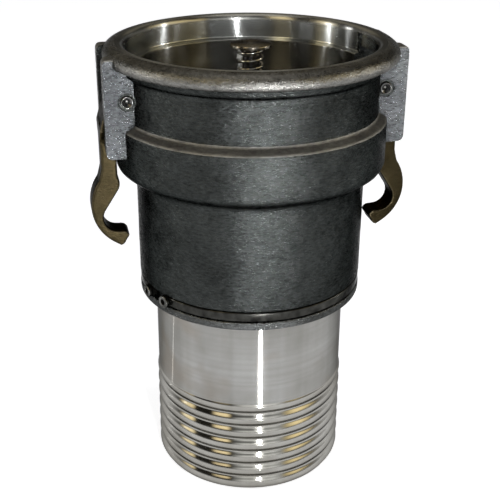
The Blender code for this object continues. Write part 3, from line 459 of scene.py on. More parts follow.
def turned_metal(name, dark, light, roughness, marks=1.0, stretch=0.75, groove=0.12, stain=None):
    """Turned metal: rings round the axis, faint streaks along it, a stretched shine, and stains if named."""
    material, tree, shader, where = blank(name)
    parts = node(tree, "ShaderNodeSeparateXYZ", {"Vector": where}).outputs
    y_squared = sums(tree, "MULTIPLY", parts["Y"], parts["Y"])
    across = sums(tree, "SQRT", sums(tree, "MULTIPLY_ADD", parts["X"], parts["X"], y_squared))
    along = sums(tree, "ADD", parts["Z"], across)
    fine = lathe_marks(tree, along, *LATHE_FINE)
    broad = lathe_marks(tree, along, *LATHE_BROAD)
    flat = node(tree, "ShaderNodeCombineXYZ", {"X": parts["X"], "Y": parts["Y"]}).outputs["Vector"]
    streaks = noise(tree, flat, *TURNED_STREAKS)
    smudge = noise(tree, where, *TURNED_SMUDGES)
    shade = weighted(tree, streaks, smudge, TURNED_STREAK_SHARE)
    tone = two_tone(tree, shade, TURNED_TONES, dark, light)
    if stain:
        patches = span(tree, noise(tree, where, *TURNED_STAINS), *STAIN_RANGE, 0.0, STAIN_STRENGTH)
        tone = mix(tree, patches, tone, stain)
    ringed = span(tree, broad, *LATHE_TONES, 0.0, LATHE_SHADE * marks)
    tree.links.new(mix(tree, ringed, tone, dark), shader.inputs["Base Color"])
    tree.links.new(span(tree, smudge, *MOST_OF_NOISE, *roughness), shader.inputs["Roughness"])
    shader.inputs["Anisotropic"].default_value = stretch
    shader.inputs["Anisotropic Rotation"].default_value = QUARTER_TURN
    tangent = node(tree, "ShaderNodeTangent", direction_type="RADIAL", axis="Z").outputs["Tangent"]
    tree.links.new(tangent, shader.inputs["Tangent"])
    height = sums(tree, "MULTIPLY_ADD", broad, LATHE_BROAD_HEIGHT, fine)
    set_bump(tree, shader, height, LATHE_BUMP, LATHE_DEPTH * groove * MM)
    return material


def dull(name, dark, light, roughness, scale, metallic=0.0, bump=0.15):
    """Rubber, plastic, wire or blackened metal: a mottled tone and a fine grain."""
    material, tree, shader, where = blank(name, metallic)
    mottle = noise(tree, where, scale, *DULL_MOTTLE)
    grain = noise(tree, where, DULL_GRAIN_FINENESS * scale, *DULL_GRAIN)
    tree.links.new(two_tone(tree, mottle, MOST_OF_NOISE, dark, light), shader.inputs["Base Color"])
    tree.links.new(span(tree, mottle, *MOST_OF_NOISE, *roughness), shader.inputs["Roughness"])
    set_bump(tree, shader, grain, bump, DULL_DEPTH)
    return material


cast_skin = cast_metal(
    "cast_skin", (0.0145, 0.0158, 0.0155), (0.05, 0.0545, 0.0535), (0.13, 0.13, 0.12),
    roughness=(0.27, 0.4), grain=0.85, glint=0.17,
)
# A lighter copy of the cast skin for the lugs' flat outer faces: painted highlight of the front light.
lug_skin_painted_light = cast_metal(
    "lug_skin_painted_light", (0.042, 0.045, 0.048), (0.118, 0.125, 0.132), (0.36, 0.36, 0.36),
    roughness=(0.28, 0.4), grain=1.3, glint=0.17,
)
lip_skin = cast_metal(
    "lip_skin", (0.04, 0.042, 0.042), (0.115, 0.12, 0.12), (0.25, 0.25, 0.24),
    roughness=(0.36, 0.48), grain=1.2, glint=0.2,
)
bead_skin = cast_metal(
    "bead_skin", (0.1, 0.099, 0.093), (0.24, 0.237, 0.224), (0.32, 0.315, 0.3),
    roughness=(0.3, 0.42), grain=0.8, glint=0.27,
)
# A lighter copy of the cast skin for faces that look up, on the band's ledge and the lugs' tops: painted
# reflection of the light from above.
top_skin_painted_light = cast_metal(
    "top_skin_painted_light", (0.11, 0.109, 0.104), (0.24, 0.237, 0.226), (0.36, 0.35, 0.33),
    roughness=(0.48, 0.6), grain=0.9, glint=0.5,
)
bore_metal = turned_metal(
    "bore_metal", (0.5, 0.515, 0.51), (0.73, 0.75, 0.745), (0.19, 0.23), stretch=1.0, groove=0.1
)
# The throat and all the inside below the counterbore are written darker than the counterbore's metal:
# painted shade, deeper in the bore.
throat_metal_painted_shade = turned_metal(
    "throat_metal_painted_shade", (0.2, 0.2, 0.185), (0.36, 0.36, 0.34), (0.18, 0.24), stretch=1.0, groove=0.1
)
rim_metal = turned_metal(
    "rim_metal", (0.3, 0.3, 0.285), (0.5, 0.5, 0.475), (0.24, 0.32), stretch=0.9, groove=0.1
)
shank_metal = turned_metal(
    "shank_metal", (0.2, 0.196, 0.18), (0.36, 0.36, 0.352), (0.1, 0.14), stretch=1.0, groove=0.1,
    stain=(0.22, 0.192, 0.16),
)
ridge_metal = turned_metal(
    "ridge_metal", (0.25, 0.24, 0.215), (0.42, 0.415, 0.395), (0.09, 0.14), stretch=0.5
)
inner_metal = turned_metal("inner_metal", (0.2, 0.2, 0.19), (0.36, 0.36, 0.35), (0.3, 0.42))
steel = turned_metal("steel", (0.14, 0.14, 0.14), (0.34, 0.34, 0.33), (0.2, 0.32))
pin_steel = turned_metal("pin_steel", (0.05, 0.05, 0.05), (0.16, 0.16, 0.155), (0.18, 0.28))
button_steel = turned_metal(
    "button_steel", (0.15, 0.135, 0.11), (0.34, 0.31, 0.26), (0.2, 0.3), marks=2.5, groove=0.2
)
bronze = cast_metal(
    "bronze", (0.01, 0.008, 0.0038), (0.031, 0.0245, 0.0125), (0.3, 0.255, 0.17),
    roughness=(0.3, 0.42), grain=0.45, glint=0.33, wear=0.85,
)
black_steel = dull(
    "black_steel", (0.012, 0.012, 0.011), (0.06, 0.06, 0.055), (0.12, 0.28), 180.0, metallic=0.9, bump=0.4
)
eye_steel = dull(
    "eye_steel", (0.03, 0.03, 0.028), (0.2, 0.2, 0.19), (0.14, 0.26), 260.0, metallic=1.0, bump=0.4
)
wire = dull("wire", (0.28, 0.27, 0.25), (0.5, 0.49, 0.46), (0.14, 0.24), 300.0, metallic=1.0, bump=0.05)
rubber = dull("rubber", (0.012, 0.012, 0.012), (0.035, 0.034, 0.033), (0.5, 0.7), 120.0)
bearing = dull("bearing", (0.55, 0.52, 0.44), (0.72, 0.7, 0.62), (0.35, 0.5), 90.0)


# Body

# Waves of the casting: height, scale, and the noise's fall, step and octaves
WAVE = 0.16 * MM
WAVE_SCALE = 75.0
WAVE_NOISE = (0.6, 2.0, 3)

# The tallest row of faces, and the steps of the rim's curves
ROW = 3.0 * MM
LIP_STEPS = 8
CROWN_STEPS = 14
ROOT_STEPS = 10
BEAD_ROOT_ANGLE = -80

COLLAR_FLARE = 0.7 * MM
COLLAR_TAPER = 0.5 * MM
COLLAR_LIFT = 0.2 * MM
NECK_DROP = 1.2 * MM
BAND_LIFT = 0.3 * MM
BAND_DROP = 0.5 * MM
BAND_EASE = 3.4 * MM

# How far a face's normal points outward or up where it takes that side's lighter tone, which is painted
# light
FACES_OUT = 0.95
FACES_UP = 0.3

# Where the turned finishes end: just past the bore's wall, and short of the rim face's outer edge
BORE_MARGIN = 0.1 * MM
RIM_MARGIN = 0.3 * MM

LUG_FINISHES = [cast_skin, lug_skin_painted_light, top_skin_painted_light]
LUG_SIDE_SLOT = 1
LUG_TOP_SLOT = 2
BODY_FINISHES = [cast_skin, bore_metal, rim_metal, bead_skin, throat_metal_painted_shade, top_skin_painted_light, lip_skin]
CAST_SLOT, BORE_SLOT, RIM_SLOT, BEAD_SLOT, THROAT_PAINTED_SHADE_SLOT, LEDGE_SLOT, LIP_SLOT = range(7)


def body_section():
    """The body's section as (radius, height, easing) corners, outside from the rim down, then inside."""
    collar_top = RIM_TOP - BEAD_HEIGHT
    collar_bottom = collar_top - COLLAR_HEIGHT
    lip = (RIM_INNER_RADIUS, RIM_TOP - RIM_LIP_HEIGHT)
    crown = (RIM_FACE_RADIUS, RIM_TOP - BEAD_CROWN)
    root = (BEAD_RADIUS - BEAD_ROOT, RIM_TOP - BEAD_CROWN)
    curve = arc(lip, RIM_LIP_WIDTH, 180, 90, LIP_STEPS, RIM_LIP_HEIGHT)
    curve += arc(crown, BEAD_OVERHANG, 90, 0, CROWN_STEPS, BEAD_CROWN)
    curve += arc(root, BEAD_ROOT, 0, BEAD_ROOT_ANGLE, ROOT_STEPS, BEAD_HEIGHT - BEAD_CROWN)[1:]
    outside = [(radius, height, 0) for radius, height in curve]
    outside += [
        (COLLAR_RADIUS + COLLAR_FLARE, collar_top, 0.6 * MM),
        (COLLAR_RADIUS - COLLAR_TAPER, collar_bottom + COLLAR_LIFT, 1.0 * MM),
        (NECK_RADIUS, collar_bottom - NECK_DROP, 1.5 * MM),
        (NECK_RADIUS, LEDGE_TOP, 1.6 * MM),
        (BAND_RADIUS, BAND_TOP + BAND_LIFT, 1.3 * MM),
        (BAND_RADIUS, BAND_BOTTOM - BAND_DROP, BAND_EASE),
        (SLEEVE_RADIUS, SLEEVE_TOP, BAND_EASE),
        (SLEEVE_RADIUS, GROOVE_TOP, 0.8 * MM),
        (GROOVE_RADIUS, GROOVE_TOP, 0.3 * MM),
        (GROOVE_RADIUS, GROOVE_BOTTOM, 0.3 * MM),
        (SLEEVE_RADIUS, GROOVE_BOTTOM, 0.9 * MM),
        (SLEEVE_RADIUS, LIP_BOTTOM, 1.0 * MM),
    ]
    inside = [
        (SOCKET_RADIUS, LIP_BOTTOM, 0.4 * MM),
        (SOCKET_RADIUS, SOCKET_TOP, 0.3 * MM),
        (CHAMBER_RADIUS, SOCKET_TOP, 0.4 * MM),
        (CHAMBER_RADIUS, SHELF_BOTTOM, 1.0 * MM),
        (SEAT_RADIUS, SHELF_BOTTOM, 0.6 * MM),
        (SEAT_RADIUS, SHELF_TOP, 0.6 * MM),
        (THROAT_RADIUS, SHELF_TOP, 0.4 * MM),
        (THROAT_RADIUS, RECESS_BOTTOM, 0.4 * MM),
        (RECESS_RADIUS, RECESS_BOTTOM, 0.3 * MM),
        (RECESS_RADIUS, RECESS_TOP, 0.3 * MM),
        (BORE_RADIUS, RECESS_TOP, 0.3 * MM),
        (BORE_RADIUS, COUNTERBORE_BOTTOM - SHOULDER_FALL, 0.5 * MM),
        (COUNTERBORE_RADIUS, COUNTERBORE_BOTTOM, 0.4 * MM),
    ]
    return outside + inside


def lug_tools():
    """The four lugs, each a flat plate with rounded corners and an eased top edge."""
    outline = rounded(
        [
            (LUG_ROOT, LUG_BOTTOM, 0),
            (LUG_REACH, LUG_BOTTOM, LUG_CORNER),
            (LUG_REACH, LUG_TOP, LUG_CORNER),
            (LUG_ROOT, LUG_TOP, 0),
        ],
        closed=True,
    )
    lugs = []
    for facing in (0, 180):
        for side in (-1, 1):
            low, high = sorted((side * LUG_GAP / 2, side * LUG_FACE))
            lug = prism(f"lug_{facing}_{side}", outline, low, high, LUG_FINISHES)
            corner = top_corner_tool(side)
            add_boolean(lug, corner, "DIFFERENCE")
            settle(add_bevel(lug, LUG_EDGE), corner)
            # The outer faces take the lighter lug tone and the tops the lighter top tone, both painted
            # light.
            for face in lug.data.polygons:
                if side * face.normal.y > FACES_OUT:
                    face.material_index = LUG_SIDE_SLOT
                elif face.normal.z > FACES_UP:
                    face.material_index = LUG_TOP_SLOT
            lugs.append(turn_about_z(lug, facing))
    return lugs


def top_corner_tool(side):
    """What is taken from a lug's outer top edge to round it."""
    top, face = LUG_TOP, side * LUG_FACE
    inward = face - side * LUG_TOP_EASE
    beyond = face + side * CUT_MARGIN
    curve = rounded([(face, top - LUG_TOP_EASE, 0), (face, top, LUG_TOP_EASE), (inward, top, 0)])[1:-1]
    ease = curve + [(inward, top + CUT_MARGIN), (beyond, top + CUT_MARGIN), (beyond, top - LUG_TOP_EASE)]
    return turn_about_z(prism("lug_top_corner", ease, -LUG_REACH - CUT_MARGIN, 0, [cast_skin]), 90)


def opening_tools():
    """What is cut from the body for each arm: the cam's slot and the pin's hole."""
    tools = []
    half = LUG_FACE + CUT_MARGIN
    half_slot = LUG_GAP / 2 - CUT_STEP
    slot_box = box_outline(
        (BORE_RADIUS - CUT_MARGIN, LUG_REACH + CUT_MARGIN),
        (PIVOT_HEIGHT - SLOT_BELOW, PIVOT_HEIGHT + SLOT_ABOVE),
    )
    spot_radius = PIN_HOLE_RADIUS + SPOT_FACE_STEP
    end = [
        (0, half),
        (spot_radius, half),
        (spot_radius, LUG_FACE - SPOT_FACE_DEPTH),
        (PIN_HOLE_RADIUS, LUG_FACE - SPOT_FACE_DEPTH),
    ]
    other_end = [(radius, -height) for radius, height in reversed(end)]
    for facing in (0, 180):
        slot = prism(f"slot_{facing}", slot_box, -half_slot, half_slot, [cast_skin])
        hole = turned(f"hole_{facing}", end + other_end, [cast_skin], SMALL_SEGMENTS, closed=False)
        hole.matrix_world = Matrix.Translation((PIVOT_REACH, 0, PIVOT_HEIGHT)) @ LAY_ALONG_Y
        tools += [turn_about_z(slot, facing), turn_about_z(hole, facing)]
    return tools


def uneven(body):
    """Gives the body the slight waves of a casting, apart from its rim, throat and lower end."""
    for corner in body.data.vertices:
        across = math.hypot(corner.co.x, corner.co.y)
        if across > GROOVE_RADIUS + MM and GROOVE_TOP + MM < corner.co.z < RIM_TOP - MM:
            wave = fractal(corner.co * WAVE_SCALE, *WAVE_NOISE) * WAVE
            corner.co.x *= 1 + wave / across
            corner.co.y *= 1 + wave / across


def body_slot(face):
    """The finish of a face of the turned body, by its place in BODY_FINISHES."""
    middle = face.center
    across = math.hypot(middle.x, middle.y)
    facing_in = face.normal.dot(Vector((middle.x, middle.y, 0))) <= 0
    inside = across < COUNTERBORE_RADIUS + BORE_MARGIN and facing_in
    if RIM_TOP - RIM_LIP_HEIGHT < middle.z and across < RIM_FACE_RADIUS - RIM_MARGIN:
        return RIM_SLOT
    if middle.z > RIM_TOP - BEAD_HEIGHT and across > RIM_INNER_RADIUS:
        return BEAD_SLOT
    # Up-facing faces of the band's ledge take the lighter top tone, which is painted light from above.
    if BAND_TOP - MM < middle.z < LEDGE_TOP + MM and face.normal.z > FACES_UP:
        return LEDGE_SLOT
    if middle.z < GROOVE_BOTTOM and across > SOCKET_RADIUS + MM:
        return LIP_SLOT
    if inside and middle.z > COUNTERBORE_BOTTOM - SHOULDER_FALL:
        return BORE_SLOT
    # Inside faces below the counterbore take the darker throat metal, which is painted shade of the deep
    # bore.
    if (inside and middle.z > GROOVE_TOP) or across < SOCKET_RADIUS + MM:
        return THROAT_PAINTED_SHADE_SLOT
    return CAST_SLOT


def make_body():
    """The cast body with its lugs, its rim face and bore turned, and its slots and pin holes cut."""
    profile = divided(rounded(body_section(), closed=True), ROW)
    body = turned("body", profile, BODY_FINISHES)
    for face in body.data.polygons:
        face.material_index = body_slot(face)
    uneven(body)
    lugs = lug_tools()
    for lug in lugs:
        add_boolean(body, lug, "UNION")
    cutters = opening_tools()
    for cutter in cutters:
        add_boolean(body, cutter, "DIFFERENCE")
    settle(body, *lugs, *cutters)
    smooth(body)
    flat = body.modifiers.new("flat_faces", "WEIGHTED_NORMAL")
    flat.keep_sharp = True
    settle(body)
    return mounted(body, "coupler", "cast_aluminium", "coupler_body")


make_body()


# Hose shank

SHANK_RADIUS = 51.1 * MM
SHANK_BORE_RADIUS = 46.0 * MM
SHANK_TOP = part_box("hose_shank")[1].z
RIDGE_COUNT = 6
RIDGE_PITCH = 8.1 * MM
RIDGE_START = 2.0 * MM
RIDGE_CREST = 4.3 * MM
RIDGE_RISE = 0.7 * MM
RIDGE_DEPTH = 0.9 * MM
RIDGE_BREADTH = 0.7
RIDGE_STEPS = 24
RIDGE_END = 1.3 * MM
RIDGES_TOP = 54.93 * MM
RIDGES_LOW = 2.6 * MM
RACE_RADIUS = SHANK_RADIUS - 1.9 * MM
RACE_MIDDLE = GROOVE_BOTTOM + 2.9 * MM
RACE_HALF = 1.9 * MM
SHANK_FINISHES = [shank_metal, ridge_metal]
RIDGE_SLOT = 1


def ridge_radius(height):
    """The shank's radius at a height within its ridges, which have broad crests and narrow valleys."""
    crest_middle = RIDGE_START + RIDGE_CREST / 2
    swing = 0.5 + 0.5 * math.cos(2 * math.pi * (height - crest_middle) / RIDGE_PITCH)
    return SHANK_RADIUS - RIDGE_DEPTH + (RIDGE_DEPTH + RIDGE_RISE) * swing**RIDGE_BREADTH


def make_shank():
    """The turned shank with its race and rounded ridges."""
    section = [
        (SHANK_BORE_RADIUS, SHANK_TOP, 0.5 * MM),
        (SHANK_RADIUS, SHANK_TOP, 0.7 * MM),
        (SHANK_RADIUS, RACE_MIDDLE + RACE_HALF, 0.2 * MM),
        (RACE_RADIUS, RACE_MIDDLE + RACE_HALF, 0.2 * MM),
        (RACE_RADIUS, RACE_MIDDLE - RACE_HALF, 0.2 * MM),
        (SHANK_RADIUS, RACE_MIDDLE - RACE_HALF, 0.2 * MM),
    ]
    steps = RIDGE_COUNT * RIDGE_STEPS
    for step in range(steps + 1):
        height = RIDGES_TOP + (RIDGES_LOW - RIDGES_TOP) * step / steps
        section.append((ridge_radius(height), height, 0))
    section += [(SHANK_RADIUS - RIDGE_END, 0, 0.6 * MM), (SHANK_BORE_RADIUS, 0, 0.6 * MM)]
    shank = turned("shank", rounded(section, closed=True), SHANK_FINISHES)
    for face in shank.data.polygons:
        if face.center.z < RIDGES_TOP and math.hypot(face.center.x, face.center.y) > RACE_RADIUS:
            face.material_index = RIDGE_SLOT
    return mounted(shank, "hose_tail", "turned_aluminium", "hose_shank")


make_shank()


# Cam arms

ARM_HALF = LUG_GAP / 2 - 0.4 * MM
HANDLE_INNER = BAND_RADIUS + 0.6 * MM - PIVOT_REACH
HANDLE_OUTER = HANDLE_INNER + 7.8 * MM
HANDLE_HALF = 6.2 * MM
HANDLE_EDGE = 1.5 * MM
CAM_LOW_RADIUS = 4.6 * MM
CAM_NOSE_RADIUS = 4.2 * MM
CAM_NOSE_REACH = 6.2 * MM
CAM_CORNER_DROP = 16.0 * MM
CAM_NOSE_ANGLE = math.radians(200)
SHOULDER_DROP = SLOT_BELOW + 9.0 * MM
BAR_DROP = 46.0 * MM
HOOK_RADIUS = 23.9 * MM
HOOK_DROP = BAR_DROP + 12.2 * MM
HOOK_BULGE = 6.1 * MM
SCOOP_RADIUS = 7.6 * MM
SCOOP_DROP = HOOK_DROP + 6.2 * MM
HOOK_NECK = 6.0 * MM
BEND_RADIUS = 7.0 * MM
BEND_STEP = 1.2 * MM
TIP_LENGTH = 8.4 * MM
TIP_REACH = 3.3 * MM
TIP_CORNER = 3.6 * MM
ARM_VOXEL = 0.55 * MM
ARM_SOFTENING = 0.5
ARM_SOFTENING_ROUNDS = 5
CAM_STEPS = 20
CAM_SLOT_GAP = 0.3 * MM
SHOULDER_RISE = 6.0 * MM
SHOULDER_OVERCUT = 0.3 * MM
HOOK_START = 7.8 * MM
HOOK_TRIM = 6
PIN_DRILL_DEPTH = 2.6 * MM
PIN_DRILL_RADIUS = 1.0 * MM
PIN_DISH_DEPTH = 1.3 * MM
PIN_DISH_RADIUS = 2.4 * MM


def cam_outline():
    """Hub, nose and root of the handle, round the pivot at (0, 0)."""
    nose = (CAM_NOSE_REACH * math.cos(CAM_NOSE_ANGLE), CAM_NOSE_REACH * math.sin(CAM_NOSE_ANGLE))
    outline = arc((0, 0), CAM_LOW_RADIUS, 10, 140, CAM_STEPS)
    outline += arc(nose, CAM_NOSE_RADIUS, 120, 290, CAM_STEPS)
    outline += [
        (HANDLE_INNER, -SLOT_BELOW + CAM_SLOT_GAP),
        (HANDLE_INNER, -SHOULDER_DROP),
        (HANDLE_OUTER, -SHOULDER_DROP),
        (HANDLE_OUTER, -CAM_CORNER_DROP),
        (HANDLE_OUTER - CAM_NOSE_RADIUS, -CAM_LOW_RADIUS / 2),
    ]
    return outline


def handle_outline():
    """The handle's bar, its bulging hook, the finger scoop and the blunt tip."""
    hook = (HANDLE_OUTER + HOOK_BULGE - HOOK_RADIUS, -HOOK_DROP)
    scoop = (HANDLE_OUTER + HOOK_BULGE - HOOK_NECK - SCOOP_RADIUS, -SCOOP_DROP)
    tip_top = scoop[1] - SCOOP_RADIUS
    tip_low = tip_top - TIP_LENGTH
    tip_end = HANDLE_INNER - TIP_REACH
    hook_end = -math.degrees(math.acos((tip_end + TIP_CORNER - hook[0]) / HOOK_RADIUS))
    bend = (HANDLE_INNER + BEND_RADIUS - BEND_STEP, -BAR_DROP)
    outline = [(HANDLE_OUTER, -SLOT_BELOW), (HANDLE_INNER, -SLOT_BELOW)]
    outline += arc(bend, BEND_RADIUS, 150, 215, 12)
    outline += arc(scoop, SCOOP_RADIUS, 34, -80, 16)
    outline += arc((tip_end + TIP_CORNER / 2, tip_top - TIP_CORNER), TIP_CORNER, 80, 170, 8)
    outline += arc((tip_end + TIP_CORNER, tip_low + TIP_CORNER), TIP_CORNER, 190, 260, 8)
    outline += arc(hook, HOOK_RADIUS, hook_end + HOOK_TRIM, 36, 24)
    outline.append((HANDLE_OUTER, -BAR_DROP + HOOK_START))
    return outline


def shoulder_tool(name, side):
    """What is cut from the hub so that it narrows to the handle."""
    step = -SHOULDER_DROP
    outline = [
        (side * (ARM_HALF + CUT_MARGIN), step + SHOULDER_RISE),
        (side * ARM_HALF, step + SHOULDER_RISE),
        (side * HANDLE_HALF, step - SHOULDER_OVERCUT),
        (side * (ARM_HALF + CUT_MARGIN), step - SHOULDER_OVERCUT),
    ]
    reach = HANDLE_OUTER + CUT_MARGIN
    return turn_about_z(prism(name, outline, -reach, reach), 90)


def make_arm(name, body, node_name, facing):
    """A cast arm: cam and handle joined, drilled, then softened as a casting is."""
    arm = prism(name, cam_outline(), -ARM_HALF, ARM_HALF, [bronze])
    handle = add_bevel(prism("handle", handle_outline(), -HANDLE_HALF, HANDLE_HALF), HANDLE_EDGE)
    tools = [settle(handle)]
    add_boolean(arm, handle, "UNION")
    for side in (-1, 1):
        tools.append(shoulder_tool(f"shoulder_{side}", side))
        add_boolean(arm, tools[-1], "DIFFERENCE")
    half = ARM_HALF + CUT_MARGIN
    hole_profile = [(0, half), (PIN_HOLE_RADIUS, half), (PIN_HOLE_RADIUS, -half), (0, -half)]
    hole = turned("arm_hole", hole_profile, [], SMALL_SEGMENTS, closed=False)
    hole.matrix_world = LAY_ALONG_Y
    tools.append(hole)
    add_boolean(arm, hole, "DIFFERENCE")
    remesh = arm.modifiers.new("even_mesh", "REMESH")
    remesh.mode = "VOXEL"
    remesh.voxel_size = ARM_VOXEL
    soften = arm.modifiers.new("softened", "SMOOTH")
    soften.factor = ARM_SOFTENING
    soften.iterations = ARM_SOFTENING_ROUNDS
    settle(arm, *tools)
    arm.data.materials.clear()
    arm.data.materials.append(bronze)
    arm.data.shade_smooth()
    place = Matrix.Translation(on_circle(PIVOT_REACH, facing, PIVOT_HEIGHT))
    arm.data.transform(place @ Matrix.Rotation(math.radians(facing), 4, "Z"))
    return mounted(arm, body, "bronze", node_name)


def make_pin(name, node_name, facing):
    """A pivot pin with dished and drilled ends."""
    half = LUG_FACE + PIN_PROUD
    end = [
        (0, half - PIN_DRILL_DEPTH, 0),
        (0.8 * MM, half - 2.4 * MM, 0.2 * MM),
        (PIN_DRILL_RADIUS, half - PIN_DISH_DEPTH, 0.2 * MM),
        (PIN_DISH_RADIUS, half - 0.1 * MM, 0.3 * MM),
        (PIN_RADIUS - 0.4 * MM, half, 0.3 * MM),
        (PIN_RADIUS, half - 0.6 * MM, 0.3 * MM),
    ]
    other_end = [(across, -up, ease) for across, up, ease in reversed(end)]
    pin = turned(name, rounded(end + other_end), [pin_steel], SMALL_SEGMENTS, closed=False)
    pin.matrix_world = Matrix.Translation(on_circle(PIVOT_REACH, facing, PIVOT_HEIGHT)) @ LAY_ALONG_Y
    return mounted(pin, "coupler", "steel", node_name)


for side_name, side_facing in (("left", 180), ("right", 0)):
    make_arm(f"arm_{side_name}", f"{side_name}_arm", f"cam_arm_{side_name}", side_facing)
    make_pin(f"pin_{side_name}", f"pivot_pin_{side_name}", side_facing)


# Retaining ring

RING_INNER = GROOVE_RADIUS + 0.3 * MM
RING_OUTER = RING_INNER + 2.7 * MM
RING_LOW = GROOVE_BOTTOM + 0.4 * MM
RING_HIGH = RING_LOW + 5.0 * MM
RING_GAP_ANGLE = 204.0
RING_GAP_HALF = 5.0
RING_STEPS = 168
EYELET_ANGLE = 7.4
EYELET_RADIUS = 3.3 * MM
EYELET_HOLE = 1.5 * MM
EYELET_INNER = SLEEVE_RADIUS + 0.3 * MM
EYELET_OUTER = EYELET_INNER + 2.0 * MM
EYELET_FLOOR = EYELET_INNER + 0.45 * MM
EYELET_SEGMENTS = 40
EYELET_NECK_HALF = 1.8 * MM
EYELET_NECK_START = RING_INNER + 1.1 * MM
EYELET_NECK_END = EYELET_INNER + 0.5 * MM
EYELET_NECK_STEP = 0.3 * MM
RING_FILLET_STEPS = 4


def make_ring():
    """The black split ring, with two eyelets at its gap."""
    section = rounded(
        [
            (RING_INNER, RING_HIGH, 0.5 * MM),
            (RING_OUTER, RING_HIGH, 0.9 * MM),
            (RING_OUTER, RING_LOW, 0.9 * MM),
            (RING_INNER, RING_LOW, 0.5 * MM),
        ],
        closed=True,
        steps=RING_FILLET_STEPS,
    )
    bm = bmesh.new()
    corners = [bm.verts.new((radius, 0, height)) for radius, height in section]
    face = bm.faces.new(corners)
    turn = Matrix.Rotation(math.radians(RING_GAP_ANGLE + RING_GAP_HALF), 4, "Z")
    bmesh.ops.transform(bm, matrix=turn, verts=corners)
    bmesh.ops.spin(
        bm,
        geom=[face],
        cent=(0, 0, 0),
        axis=(0, 0, 1),
        angle=math.radians(360 - 2 * RING_GAP_HALF),
        steps=RING_STEPS,
    )
    ring = mesh_piece("ring", bm, [black_steel])
    middle = (RING_LOW + RING_HIGH) / 2
    lay_radially = Matrix.Translation((0, 0, middle)) @ Matrix.Rotation(math.pi / 2, 4, "Y")
    eye_section = rounded(
        [
            (EYELET_HOLE, EYELET_OUTER, 0.3 * MM),
            (EYELET_RADIUS, EYELET_OUTER, 0.6 * MM),
            (EYELET_RADIUS, EYELET_INNER, 0.4 * MM),
            (EYELET_HOLE, EYELET_INNER, 0.2 * MM),
        ],
        closed=True,
        steps=RING_FILLET_STEPS,
    )
    neck_box = box_outline(
        (EYELET_NECK_START, EYELET_NECK_END),
        (RING_LOW + EYELET_NECK_STEP, RING_HIGH - EYELET_NECK_STEP),
    )
    hole_radius = EYELET_HOLE + CUT_STEP
    hole_section = [
        (0, EYELET_OUTER + MM),
        (hole_radius, EYELET_OUTER + MM),
        (hole_radius, EYELET_FLOOR),
        (0, EYELET_FLOOR),
    ]
    tools = []
    for side in (-1, 1):
        eye = turned(f"eye_{side}", eye_section, [eye_steel], EYELET_SEGMENTS)
        eye.matrix_world = lay_radially
        neck = prism(f"eye_neck_{side}", neck_box, -EYELET_NECK_HALF, EYELET_NECK_HALF, [black_steel])
        hole = turned(f"eye_hole_{side}", hole_section, [black_steel], EYELET_SEGMENTS, closed=False)
        hole.matrix_world = lay_radially
        for tool in (neck, eye, hole):
            turn_about_z(tool, RING_GAP_ANGLE + side * EYELET_ANGLE)
        add_boolean(ring, neck, "UNION")
        add_boolean(ring, eye, "UNION")
        add_boolean(ring, hole, "DIFFERENCE")
        tools += [neck, eye, hole]
    settle(ring, *tools)
    smooth(ring)
    return mounted(ring, "coupler", "black_steel", "retaining_ring")


make_ring()


# Poppet and spring

BUTTON_LOW, BUTTON_HIGH = (corner.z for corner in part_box("poppet_button"))
BUTTON_RADIUS = 10.5 * MM
BUTTON_BOSS = 4.7 * MM
BUTTON_HEAD = 2.4 * MM
BUTTON_SOCKET_RADIUS = 3.5 * MM
BUTTON_SOCKET_TOP = BUTTON_LOW + 4.2 * MM
SPRING_LOW, SPRING_HIGH = (corner.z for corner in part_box("poppet_spring"))
SPRING_RADIUS = 5.8 * MM
SPRING_WIRE = 1.6 * MM
SPRING_TURNS = 13
SPRING_TURN_STEPS = 36
SPRING_SIDES = 14


def make_button():
    """The mushroom button, with a shallow crown and a dimple where the lathe's centre sat."""
    section = [
        (0, BUTTON_HIGH - 0.5 * MM, 0),
        (0.7 * MM, BUTTON_HIGH - 0.2 * MM, 0.3 * MM),
        (6.3 * MM, BUTTON_HIGH - 0.15 * MM, 1.5 * MM),
        (BUTTON_RADIUS - 0.3 * MM, BUTTON_HIGH - 0.5 * MM, 0.4 * MM),
        (BUTTON_RADIUS, BUTTON_HIGH - 0.9 * MM, 0.3 * MM),
        (BUTTON_RADIUS, BUTTON_HIGH - BUTTON_HEAD, 0.4 * MM),
        (BUTTON_BOSS, BUTTON_HIGH - BUTTON_HEAD, 0.3 * MM),
        (BUTTON_BOSS, BUTTON_LOW, 0.3 * MM),
        (BUTTON_SOCKET_RADIUS, BUTTON_LOW, 0.1 * MM),
        (BUTTON_SOCKET_RADIUS, BUTTON_SOCKET_TOP, 0.1 * MM),
        (0, BUTTON_SOCKET_TOP, 0),
    ]
    button = turned("button", rounded(section), [button_steel], SMALL_SEGMENTS, closed=False)
    return mounted(button, "poppet", "steel", "poppet_button")


